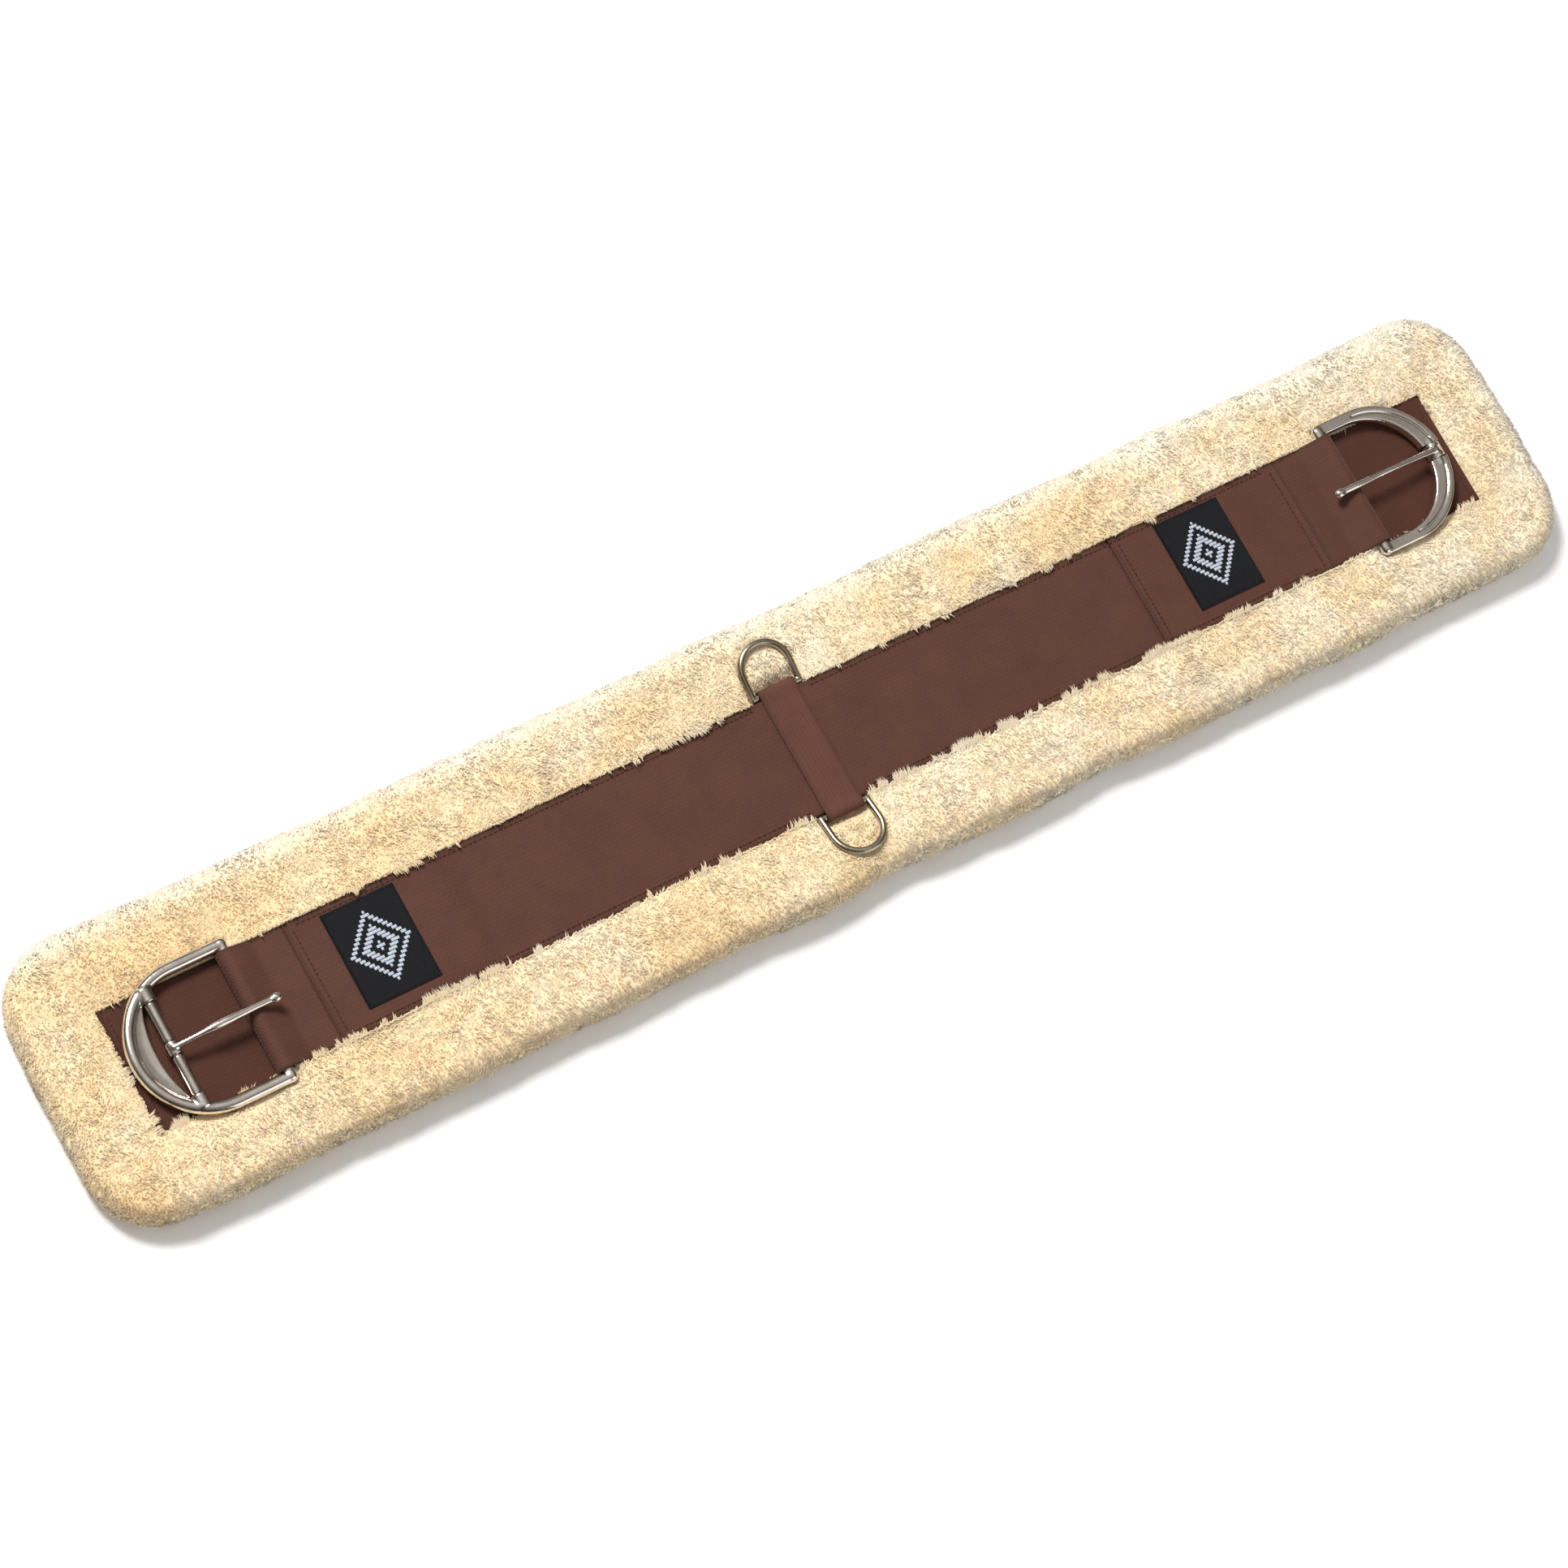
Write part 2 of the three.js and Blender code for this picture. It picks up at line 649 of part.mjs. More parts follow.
place(girth, "near_label", wovenLabel(NEAR_LABEL_X), label);
place(girth, "off_label", wovenLabel(OFF_LABEL_X), label);
place(girth, "near_stitch_row", stitchRow(NEAR * END_STITCH_X), thread);
place(girth, "off_stitch_row", stitchRow(OFF * END_STITCH_X), thread);
place(girth, "off_tail_stitch_row", stitchRow(OFF * TAIL_STITCH_X), thread);

place(girth, "near_buckle_frame", nearFrame(), steel);
place(girth, "near_crossbar", crossbar(), steel);
place(girth, "near_roller_front", roller(FRONT), steel);
place(girth, "near_roller_rear", roller(REAR), steel);
place(girth, "near_tongue", tongue(NEAR, CROSSBAR_X, NEAR_EYE, NEAR_TIP_X), steel);
place(girth, "off_buckle_frame", offFrame(), steel);
place(girth, "off_tongue", tongue(OFF, NECK_X, OFF_EYE, OFF_TIP_X), steel);

place(girth, "dee_keeper", deeKeeper(), webbing);
for (const [name, edge] of [["front_dee", FRONT], ["rear_dee", REAR]]) {
  const pivot = new THREE.Group();
  pivot.position.set(DEE_X, edge * DEE_Y, DEE_Z);
  pivot.rotation.x = edge * THREE.MathUtils.degToRad(DEE_TILT);
  girth.add(pivot);
  place(pivot, name, dee(edge), wire);
}

export default girth;
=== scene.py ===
"""The looks of a saddle girth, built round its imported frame: a fleece-lined webbing cinch with a
buckle at each end and two dees at its centre. Shapes are worked out in millimetres and made in metres."""

import json
import math

import bpy
import numpy as np
from mathutils import Matrix, Vector


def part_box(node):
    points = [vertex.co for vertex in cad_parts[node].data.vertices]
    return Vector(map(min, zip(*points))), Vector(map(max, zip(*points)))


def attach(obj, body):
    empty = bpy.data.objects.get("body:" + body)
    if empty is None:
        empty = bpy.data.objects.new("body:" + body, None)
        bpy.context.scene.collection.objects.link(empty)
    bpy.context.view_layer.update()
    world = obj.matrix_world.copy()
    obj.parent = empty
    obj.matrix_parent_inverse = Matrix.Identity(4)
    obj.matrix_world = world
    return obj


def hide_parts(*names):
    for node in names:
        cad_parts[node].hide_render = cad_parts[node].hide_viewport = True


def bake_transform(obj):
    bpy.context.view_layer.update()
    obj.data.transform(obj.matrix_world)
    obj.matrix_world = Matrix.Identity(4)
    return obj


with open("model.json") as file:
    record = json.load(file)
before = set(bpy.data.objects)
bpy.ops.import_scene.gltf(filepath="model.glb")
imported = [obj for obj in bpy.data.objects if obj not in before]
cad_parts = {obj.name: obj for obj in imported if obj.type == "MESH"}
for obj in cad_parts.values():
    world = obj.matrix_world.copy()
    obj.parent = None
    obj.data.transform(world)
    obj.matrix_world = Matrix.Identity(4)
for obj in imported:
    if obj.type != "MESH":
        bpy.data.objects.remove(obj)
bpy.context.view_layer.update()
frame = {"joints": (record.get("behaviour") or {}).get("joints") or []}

MM = 0.001
NEAR, OFF = -1, 1  # sides of the girth along X
FRONT, REAR = -1, 1  # sides of the girth along Y
SIDE_NAMES = {NEAR: "near", OFF: "off"}
EDGE_NAMES = {FRONT: "front", REAR: "rear"}
X, Y, Z = np.eye(3)


def node_box(name):
    """Lowest and highest corner of a CAD node, in millimetres."""
    low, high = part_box(name)
    return np.array(low) / MM, np.array(high) / MM


JOINTS = {joint["name"]: np.array(joint["pos_m"]) / MM for joint in frame["joints"]}

# ---- Sizes read from the frame ----
PAD_X, PAD_Y, PAD_TOP = node_box("fleece_cover_off")[1]
base_low, base_high = node_box("base_web_off")
lower_low, lower_high = node_box("main_strap_centre")
upper_low, upper_high = node_box("off_strap_tail")
keeper_low, keeper_high = node_box("dee_keeper")
BASE_X, WEB_Y = base_high[:2]
BASE_Z = (base_low[2] + base_high[2]) / 2
BASE_THICKNESS = base_high[2] - base_low[2]
LOWER_Z = (lower_low[2] + lower_high[2]) / 2
UPPER_Z = (upper_low[2] + upper_high[2]) / 2
STRAP_THICKNESS = lower_high[2] - lower_low[2]
STRAP_TOP = upper_high[2]
NEAR_TAIL_X = -node_box("near_strap_tail")[1][0]
OFF_TAIL_X = upper_low[0]
LIFT_X = JOINTS["off_end_lift"][0]
HEEL_X, _, HEEL_Z = JOINTS["off_buckle_swing"]
CROSSBAR_X = -JOINTS["near_tongue_lift"][0]
NECK_X = JOINTS["off_tongue_lift"][0]
DEE_X, DEE_Y, DEE_Z = JOINTS["rear_dee_swing"]
SPLIT_X = DEE_X  # the long soft pieces are made in two halves that meet here, under the keeper

# ---- Sizes the frame's boxes don't give ----
PAD_CORNER = 45
CORE = {"x": 494, "y": 72, "corner": 30, "low": 5, "high": 13}
HEEL_R = 3.75
ARM_Y = 42.05
NEAR_ARC_X = 414.5
CROSSBAR_R = 2.2
CROSSBAR_HALF = 34.2
ROLLER = {"inner": 2.5, "outer": 3.4, "start": 4.9, "end": 28.3}
BOSS = {"radius": 5, "start": 28.8, "end": 37.5}
PLATE = {"half": 1.3, "edge_r": 75.8, "edge_x": 444}
OFF_BAND = {"half": 3, "outer_x": 407.2, "outer_r": 45.8, "inner_x": 401.7, "inner_r": 38.3}
OFF_GROOVE = {"inset": 4.6, "radius": 0.75}  # pressed into the off frame's upper face
NECK = {"radius": 3.2, "half": 5.3}
NEAR_EYE = {"inner": 2.5, "outer": 4.4, "half": 3.9}
OFF_EYE = {"inner": 3.5, "outer": 5.6, "half": 4.7}
SHANK_HALF = 2.4  # half a tongue's thickness where it lies on the strap's fold
TIP_R = 3
TIP_X = {NEAR: 371, OFF: 370}
CLEARANCE = 0.3  # gap between a strap and the bar that it goes round
FOLD_R = HEEL_R + CLEARANCE + STRAP_THICKNESS / 2  # middle of the strap where it goes round the heel bar
CLOSE_REACH = 16.5  # distance from the heel bar to where the strap's layers close
DEE = {"wire": 2, "half": 16, "leg": 13.5, "tilt": math.radians(13)}


# ---- Seeded noise ----
def lattice_noise(points, size, seed):
    """Smooth noise from -1 to 1, with features of the given size in millimetres."""
    table = np.random.default_rng(seed).uniform(-1, 1, (64, 64, 64))
    scaled = points / size
    cell = np.floor(scaled).astype(int)
    share = scaled - cell
    share = share * share * (3 - 2 * share)
    total = np.zeros(len(points))
    for corner in np.ndindex(2, 2, 2):
        weight = np.prod(np.where(corner, share, 1 - share), axis=1)
        i, j, k = ((cell + corner) % 64).T
        total += weight * table[i, j, k]
    return total


def noise_vectors(points, size, seed):
    return np.stack([lattice_noise(points, size, seed + axis) for axis in range(3)], axis=1)


def curd_noise(points, size, seed):
    """Rounded lumps with creases between them, from 0 in a crease to 1 on a lump."""
    table = np.random.default_rng(seed).uniform(0, 1, (64, 64, 64, 3))
    scaled = points / size
    cell = np.floor(scaled).astype(int)
    nearest = np.full(len(points), 9.0)
    for offset in np.ndindex(3, 3, 3):
        around = cell + np.array(offset) - 1
        i, j, k = (around % 64).T
        nearest = np.minimum(nearest, ((around + table[i, j, k] - scaled) ** 2).sum(axis=1))
    return 1 - np.minimum(nearest, 1)


def smooth_step(value, low, high):
    share = np.clip((value - low) / (high - low), 0, 1)
    return share * share * (3 - 2 * share)


# ---- Mesh building ----
def signed_volume(points, faces):
    """Six times the volume inside a closed mesh, and negative if its faces point inward."""
    total = 0.0
    for group in faces:
        for i in range(1, group.shape[1] - 1):
            a, b, c = (points[group[:, corner]] for corner in (0, i, i + 1))
            total += (a * np.cross(b, c)).sum()
    return total


def new_object(name, points, faces, material):
    """A smooth mesh object, from points in millimetres and arrays of faces with equally many sides."""
    if signed_volume(points, faces) < 0:
        faces = [group[:, ::-1] for group in faces]
    sides = np.concatenate([np.full(len(group), group.shape[1]) for group in faces])
    corners = np.concatenate([group.ravel() for group in faces])
    mesh = bpy.data.meshes.new(name)
    mesh.vertices.add(len(points))
    mesh.vertices.foreach_set("co", (points * MM).astype(np.float32).ravel())
    mesh.loops.add(len(corners))
    mesh.loops.foreach_set("vertex_index", corners.astype(np.int32))
    mesh.polygons.add(len(sides))
    mesh.polygons.foreach_set("loop_start", (np.cumsum(sides) - sides).astype(np.int32))
    mesh.update(calc_edges=True)
    mesh.materials.append(material)
    mesh.shade_smooth()
    made = bpy.data.objects.new(name, mesh)
    bpy.context.scene.collection.objects.link(made)
    return made


def grid_faces(rows, columns, closed_columns=False):
    """Quads over a grid of points kept row by row."""
    index = np.arange(rows * columns).reshape(rows, columns)
    if closed_columns:
        index = np.hstack([index, index[:, :1]])
    corners = index[:-1, :-1], index[1:, :-1], index[1:, 1:], index[:-1, 1:]
    return np.stack(corners, axis=-1).reshape(-1, 4)


def joined_parts(parts):
    """One mesh's points and faces from several (points, faces) pairs."""
    points, faces, start = [], [], 0
    for part_points, part_faces in parts:
        points.append(part_points)
        faces += [group + start for group in part_faces]
        start += len(part_points)
    return np.concatenate(points), faces


def contour(distance, low, high, cell):
    """Closed quad mesh of the surface where distance(points) is 0, inside the box from low to high."""
    axes = [np.arange(a - 2 * cell, b + 3 * cell, cell) for a, b in zip(low, high)]
    grid = np.stack(np.meshgrid(*axes, indexing="ij"), axis=-1)
    value = distance(grid.reshape(-1, 3)).reshape(grid.shape[:3])
    cells = tuple(n - 1 for n in value.shape)
    total, hits, crossings = np.zeros((*cells, 3)), np.zeros(cells, int), []
    for axis in range(3):
        lined_up = np.moveaxis(value, axis, 0)
        first, second = (np.moveaxis(part, 0, axis) for part in (lined_up[:-1], lined_up[1:]))
        crossed = (first < 0) != (second < 0)
        crossings.append((crossed, first < 0))
        at = np.argwhere(crossed)
        share = first[crossed] / (first[crossed] - second[crossed])
        place = grid[tuple(at.T)] + share[:, None] * cell * np.eye(3)[axis]
        sides = [other for other in range(3) if other != axis]
        for back in np.ndindex(2, 2):
            step = np.zeros(3, int)
            step[sides[0]], step[sides[1]] = back
            np.add.at(total, tuple((at - step).T), place)
            np.add.at(hits, tuple((at - step).T), 1)
    active = hits > 0
    number = np.full(cells, -1)
    number[active] = np.arange(active.sum())
    points = total[active] / hits[active][:, None]
    faces = []
    for axis, (crossed, starts_inside) in enumerate(crossings):
        first, second = [other for other in range(3) if other != axis]
        at = np.argwhere(crossed)
        u, v = np.eye(3, dtype=int)[first], np.eye(3, dtype=int)[second]
        ring = [number[tuple((at - step).T)] for step in (0 * u, u, u + v, v)]
        quads = np.stack(ring, axis=1)
        outward = starts_inside[crossed] == (axis != 1)
        quads[~outward] = quads[~outward][:, ::-1]
        faces.append(quads)
    for _ in range(4):
        points = points - slope_step(distance, points)
    return points, faces


def slope_step(distance, points, reach=0.02):
    """The move that takes points onto the surface where distance is 0."""
    slope = [distance(points + reach * axis) - distance(points - reach * axis) for axis in (X, Y, Z)]
    slope = np.stack(slope, axis=1) / (2 * reach)
    size = np.maximum((slope**2).sum(axis=1), 0.25)
    return slope * (distance(points) / size)[:, None]


# ---- Distances to simple shapes ----
def along_segment(points, start, end):
    """Each point's share of the way along a segment, and its distance from it."""
    start, along = np.array(start, float), np.array(end, float) - start
    share = np.clip((points - start) @ along / (along @ along), 0, 1)
    return share, np.linalg.norm(points - start - share[:, None] * along, axis=1)


def to_segment(points, start, end, radius):
    return along_segment(points, start, end)[1] - radius


def rounded_edges(first, second, rounding):
    """The part inside both distances, with its outer edges rounded."""
    over = np.stack([first, second], axis=1) + rounding
    return np.linalg.norm(np.maximum(over, 0), axis=1) + np.minimum(over.max(axis=1), 0) - rounding


def to_bar(points, start, end, radius, rounding):
    """A round bar with flat ends and rounded edges."""
    start, along = np.array(start, float), np.array(end, float) - start
    half = np.linalg.norm(along) / 2
    axis = along / (2 * half)
    offset = points - start - along / 2
    lengthwise = offset @ axis
    crosswise = np.linalg.norm(offset - lengthwise[:, None] * axis, axis=1)
    return rounded_edges(crosswise - radius, np.abs(lengthwise) - half, rounding)


def cross_bar(x, low_y, high_y):
    """The two ends of a bar across the girth, at the height of the buckles' heel bars."""
    return (x, low_y, HEEL_Z), (x, high_y, HEEL_Z)


def to_arc_wire(points, centre, radius, wire, towards):
    """A round wire along half a level circle, on the side of its centre that towards points to."""
    offset = points - np.array(centre, float)
    across = np.linalg.norm(offset[:, :2], axis=1)
    on_arc = np.hypot(across - radius, offset[:, 2])
    direction = np.array(towards, float)
    side_axis = np.array([-direction[1], direction[0], 0])
    ends = np.linalg.norm(offset[:, None, :] - radius * np.stack([side_axis, -side_axis]), axis=2)
    return np.where(offset @ direction > 0, on_arc, ends.min(axis=1)) - wire


def blended(first, second, radius):
    """The union of two distances, with a fillet of about the radius where they meet."""
    share = np.clip(0.5 + (second - first) / (2 * radius), 0, 1)
    return second * (1 - share) + first * share - radius * share * (1 - share)


def without(first, second, radius):
    """The first distance with the second cut out, and a soft edge left."""
    return -blended(-first, second, radius)


def to_slab(points, outline, low, high, rounding):
    """A level plate: outline is a distance in plan, and its edges are rounded."""
    half, middle = (high - low) / 2, (high + low) / 2
    return rounded_edges(outline, np.abs(points[:, 2] - middle) - half, rounding)


# ---- Materials ----
def add_node(tree, kind, inputs=None, **settings):
    """A shader node with its settings, and its inputs linked or set."""
    made = tree.nodes.new("ShaderNode" + kind)
    for key, value in settings.items():
        setattr(made, key, value)
    for key, value in (inputs or {}).items():
        if isinstance(value, bpy.types.NodeSocket):
            tree.links.new(value, made.inputs[key])
        else:
            made.inputs[key].default_value = value
    return made


def new_material(name, constants):
    """A material with a Principled surface. Returns it with its tree and surface."""
    made = bpy.data.materials.new(name)
    made.use_nodes = True
    surface = made.node_tree.nodes["Principled BSDF"]
    for key, value in constants.items():
        surface.inputs[key].default_value = value
    return made, made.node_tree, surface


def place_of(tree):
    return add_node(tree, "TexCoord").outputs["Object"]


def patches(tree, place, scale, detail=3.0, roughness=0.5):
    """Noise from 0 to 1 with this many features a metre."""
    inputs = {"Vector": place, "Scale": scale, "Detail": detail, "Roughness": roughness}
    return add_node(tree, "TexNoise", inputs).outputs["Fac"]


def colour_ramp(tree, factor, stops):
    """Colours along a factor, from (position, colour) pairs."""
    made = add_node(tree, "ValToRGB", {"Fac": factor})
    ramp = made.color_ramp
    ramp.elements[0].position, ramp.elements[1].position = stops[0][0], stops[-1][0]
    ramp.elements[0].color, ramp.elements[1].color = (*stops[0][1], 1), (*stops[-1][1], 1)
    for position, colour in stops[1:-1]:
        ramp.elements.new(position).color = (*colour, 1)
    return made.outputs["Color"]


def bumped(tree, surface, height, distance, strength=1.0):
    inputs = {"Height": height, "Distance": distance, "Strength": strength}
    tree.links.new(add_node(tree, "Bump", inputs).outputs["Normal"], surface.inputs["Normal"])


def ridges(tree, place, axis, pitch, phase=0.0):
    """A wave from -1 to 1 along an axis, with its pitch in metres."""
    along = add_node(tree, "SeparateXYZ", {"Vector": place}).outputs[axis]
    turn = add_node(tree, "Math", {0: along, 1: 2 * math.pi / pitch, 2: phase}, operation="MULTIPLY_ADD")
    return add_node(tree, "Math", {0: turn.outputs[0]}, operation="SINE").outputs[0]


def maths(tree, operation, first, second):
    return add_node(tree, "Math", {0: first, 1: second}, operation=operation).outputs[0]


def colour_mix(tree, share, first, second):
    return add_node(tree, "Mix", {0: share, 6: first, 7: second}, data_type="RGBA").outputs[2]


def value_mix(tree, share, first, second):
    return add_node(tree, "Mix", {0: share, 2: first, 3: second}, data_type="FLOAT").outputs[0]


def from_0_to_1(tree, value, low, high):
    """A value's share of the way from low to high."""
    return add_node(tree, "MapRange", {"Value": value, "From Min": low, "From Max": high}).outputs[0]


PAINTED_LIGHT_WIDTH = 26  # width of the painted highlight: paler wool along the rear edge and the off end, where the light falls


def fleece_material(name, stops, painted_light=None):
    """Wool: slow colour patches with a little grain, and a painted highlight at the rear edge and off end."""
    made, tree, surface = new_material(
        name,
        {
            "Roughness": 0.95,
            "Specular IOR Level": 0.12,
            "Sheen Weight": 0.3,
            "Sheen Roughness": 0.5,
            "Sheen Tint": (1.0, 0.95, 0.85, 1),
            "Subsurface Weight": 0.3,
            "Subsurface Radius": (1.0, 0.8, 0.6),
            "Subsurface Scale": 0.006,
        },
    )
    place = place_of(tree)
    broad = patches(tree, place, 22.0, 2.0)
    fine = patches(tree, place, 260.0, 2.0)
    mixed = value_mix(tree, 0.22, broad, fine)
    split = add_node(tree, "SeparateXYZ", {"Vector": place})
    lengthwise = maths(tree, "MULTIPLY", split.outputs["X"], 0.22)
    colour = colour_ramp(tree, maths(tree, "ADD", mixed, lengthwise), stops)
    # Painted highlight: the wool turns paler towards the rear edge and the off end, as if lit there.
    if painted_light:
        outward = []
        for axis, size in (("X", PAD_X), ("Y", PAD_Y)):
            outward.append(from_0_to_1(tree, split.outputs[axis], (size - PAINTED_LIGHT_WIDTH) * MM, size * MM))
        share = maths(tree, "MULTIPLY", maths(tree, "POWER", maths(tree, "MAXIMUM", *outward), 1.5), 0.75)
        colour = colour_mix(tree, share, colour, (*painted_light, 1))
    tree.links.new(colour, surface.inputs["Base Color"])
    bumped(tree, surface, patches(tree, place, 800.0, 3.0, 0.7), 0.0006, 0.5)
    return made


def webbing_material(name, light, dark, selvedge, axis="Y", middle=0.0, half=WEB_Y):
    """Coarse woven webbing: lengthwise cords crossed by a finer weft, and darker along its edges."""
    made, tree, surface = new_material(
        name,
        {
            "Specular IOR Level": 0.25,
            "Sheen Weight": 0.12,
            "Sheen Roughness": 0.4,
            "Sheen Tint": (0.9, 0.75, 0.7, 1),
        },
    )
    place = place_of(tree)
    cords = ridges(tree, place, axis, 0.0024)
    weft = ridges(tree, place, "X" if axis == "Y" else "Y", 0.0017)
    weave = maths(tree, "MULTIPLY", cords, weft)
    fuzz = patches(tree, place, 900.0, 3.0, 0.7)
    relief = maths(tree, "ADD", maths(tree, "MULTIPLY", weave, 0.5), fuzz)
    slow = patches(tree, place, 40.0, 4.0, 0.6)
    shade = maths(tree, "ADD", value_mix(tree, 0.5, slow, fuzz), maths(tree, "MULTIPLY", weave, 0.07))
    cloth = colour_ramp(tree, shade, [(0.3, dark), (0.7, light)])
    across = add_node(tree, "SeparateXYZ", {"Vector": place}).outputs[axis]
    outward = maths(tree, "ABSOLUTE", maths(tree, "SUBTRACT", across, middle * MM), 0)
    # The colour darkens towards both edges of the web.
    edge_share = maths(tree, "MULTIPLY", from_0_to_1(tree, outward, (half - 3.2) * MM, (half - 0.6) * MM), 0.75)
    colour = colour_mix(tree, edge_share, cloth, (*selvedge, 1))
    tree.links.new(colour, surface.inputs["Base Color"])
    rough = maths(tree, "ADD", 0.62, maths(tree, "MULTIPLY", fuzz, 0.25))
    tree.links.new(rough, surface.inputs["Roughness"])
    bumped(tree, surface, relief, 0.00022, 0.7)
    return made


def metal_material(name, bright, dull, roughness):
    """Plated steel with smudges and fine rub marks."""
    made, tree, surface = new_material(name, {"Metallic": 1.0})
    place = place_of(tree)
    smudge = patches(tree, place, 60.0, 5.0, 0.6)
    rubs = patches(tree, place, 900.0, 2.0, 0.5)
    colour = colour_ramp(tree, smudge, [(0.35, dull), (0.65, bright)])
    tree.links.new(colour, surface.inputs["Base Color"])
    uneven = maths(tree, "MULTIPLY", maths(tree, "MULTIPLY", smudge, rubs), 0.35)
    tree.links.new(maths(tree, "ADD", uneven, roughness), surface.inputs["Roughness"])
    bumped(tree, surface, rubs, 0.00002, 0.4)
    return made


def thread_material(name, light, dark):
    made, tree, surface = new_material(name, {"Roughness": 0.85, "Specular IOR Level": 0.2})
    place = place_of(tree)
    twist = maths(tree, "ADD", ridges(tree, place, "X", 0.0007), ridges(tree, place, "Y", 0.0007))
    strands = patches(tree, place, 500.0, 3.0)
    tree.links.new(colour_ramp(tree, strands, [(0.3, dark), (0.7, light)]), surface.inputs["Base Color"])
    bumped(tree, surface, twist, 0.00008, 0.6)
    return made


def label_material(name, light, dark, constants):
    """Damask: fine ribs across the label, with its threads showing."""
    made, tree, surface = new_material(name, constants)
    place = place_of(tree)
    ribs = ridges(tree, place, "X", 0.0006)
    strands = patches(tree, place, 1500.0, 2.0)
    shade = maths(tree, "ADD", strands, maths(tree, "MULTIPLY", ribs, 0.15))
    tree.links.new(colour_ramp(tree, shade, [(0.25, dark), (0.75, light)]), surface.inputs["Base Color"])
    bumped(tree, surface, ribs, 0.00006, 0.6)
    return made


GOLD, CREAM, PALE = (0.87, 0.64, 0.355), (0.885, 0.7, 0.44), (0.92, 0.785, 0.58)
# Colour of the painted highlight at the rear edge and the off end of the fleece.
PAINTED_LIGHT_COLOUR = (0.95, 0.89, 0.75)
fleece = fleece_material("fleece_pile", [(0.3, GOLD), (0.5, CREAM), (0.7, PALE)], PAINTED_LIGHT_COLOUR)
felt = fleece_material("felt", [(0.3, (0.55, 0.52, 0.45)), (0.7, (0.7, 0.68, 0.62))])
webbing = webbing_material("webbing", (0.099, 0.037, 0.024), (0.07, 0.0255, 0.0155), (0.056, 0.024, 0.0115))
# Painted shade: the base web's colours are darker and redder than the strap's, for the shade it lies in
# inside the buckles.
shaded_base_webbing = webbing_material(
    "shaded_base_webbing", (0.078, 0.025, 0.013), (0.054, 0.017, 0.009), (0.05, 0.02, 0.009)
)
keeper_half = (keeper_high[0] - keeper_low[0]) / 2
keeper_webbing = webbing_material(
    "keeper_webbing", (0.12, 0.044, 0.03), (0.083, 0.03, 0.02), (0.065, 0.026, 0.014), "X", DEE_X, keeper_half
)
steel = metal_material("nickel_plate", (0.88, 0.83, 0.79), (0.76, 0.7, 0.63), 0.1)
wire = metal_material("dee_wire", (0.5, 0.44, 0.34), (0.36, 0.31, 0.23), 0.2)
thread = thread_material("thread", (0.08, 0.03, 0.018), (0.045, 0.017, 0.01))
matt, glossy = {"Roughness": 0.8, "Specular IOR Level": 0.15}, {"Roughness": 0.5, "Sheen Weight": 0.1}
label = label_material("label_cloth", (0.013, 0.0135, 0.016), (0.0045, 0.005, 0.0065), matt)
motif_thread = label_material("label_thread", (0.55, 0.6, 0.68), (0.3, 0.34, 0.4), glossy)


# ---- Fleece ----
def web_gap(x, y):
    """Distance in plan outside the base web's outline, and negative inside it."""
    over_x, over_y = np.abs(x) - BASE_X, np.abs(y) - WEB_Y
    outside = np.hypot(np.maximum(over_x, 0), np.maximum(over_y, 0))
    return outside + np.minimum(np.maximum(over_x, over_y), 0)


def dee_line(x, y):
    """Distance in plan to the centre line of the nearer dee."""
    u, v = x - DEE_X, np.abs(y) - DEE_Y
    run = DEE["leg"] * math.cos(DEE["tilt"])
    leg = np.hypot(np.abs(u) - DEE["half"], v - np.clip(v, 0, run))
    end = np.abs(np.hypot(u, v - run) - DEE["half"])
    return np.where(v > run, end, leg)


def frame_line(x, y):
    """Distance in plan to the centre line of a buckle's arms and round end."""
    u, v = np.abs(x), np.abs(y)
    arm = np.hypot(u - np.clip(u, HEEL_X, NEAR_ARC_X), v - ARM_Y)
    end = np.abs(np.hypot(u - NEAR_ARC_X, v) - ARM_Y)
    return np.where(u > NEAR_ARC_X, end, arm)


def keeper_gap(x, y):
    """Distance in plan outside the ends of the keeper, where it is hooked round the dees."""
    return np.maximum(np.abs(x - DEE_X) - (keeper_high[0] - DEE_X), np.abs(y) - keeper_high[1])


def under_wire(distance, centre_z, radius):
    """Height that the pile may reach at this distance in plan from a wire resting on it."""
    inside = np.sqrt(np.maximum(radius**2 - distance**2, 0))
    return centre_z - inside + 0.9 * np.maximum(distance - radius, 0)


def under_metal(x, y, room):
    """Height that leaves this much room under the resting dees and buckles, and beside them."""
    dee_z = DEE_Z + (np.abs(y) - DEE_Y) * math.tan(DEE["tilt"])
    under_dee = under_wire(dee_line(x, y), dee_z, DEE["wire"] + room)
    return np.minimum(under_dee, under_wire(frame_line(x, y), HEEL_Z, HEEL_R + room))


CHANNEL_Z = base_low[2] - 0.4  # the pile is pressed flat under the web
LIP_RISE = 0.6  # how far above the web's upper face the pile beside it stands
SHOULDER = 21  # width over which the pile rises from there to its full height
PILE_ROOM = 1.1  # room under the resting metal for the wool that lies flat there
LOCK_ROOM = 0.4  # room that the locks leave under it


def web_top(x):
    """Height of the webbing's upper face along the girth, with its steps smoothed."""
    far = np.abs(x)
    tail_x = np.where(x > 0, OFF_TAIL_X, NEAR_TAIL_X)
    doubled = lower_high[2] + (STRAP_TOP - lower_high[2]) * smooth_step(far, tail_x - 10, tail_x)
    past_fold = smooth_step(far, HEEL_X + 4, HEEL_X + 12)
    return doubled * (1 - past_fold) + base_high[2] * past_fold


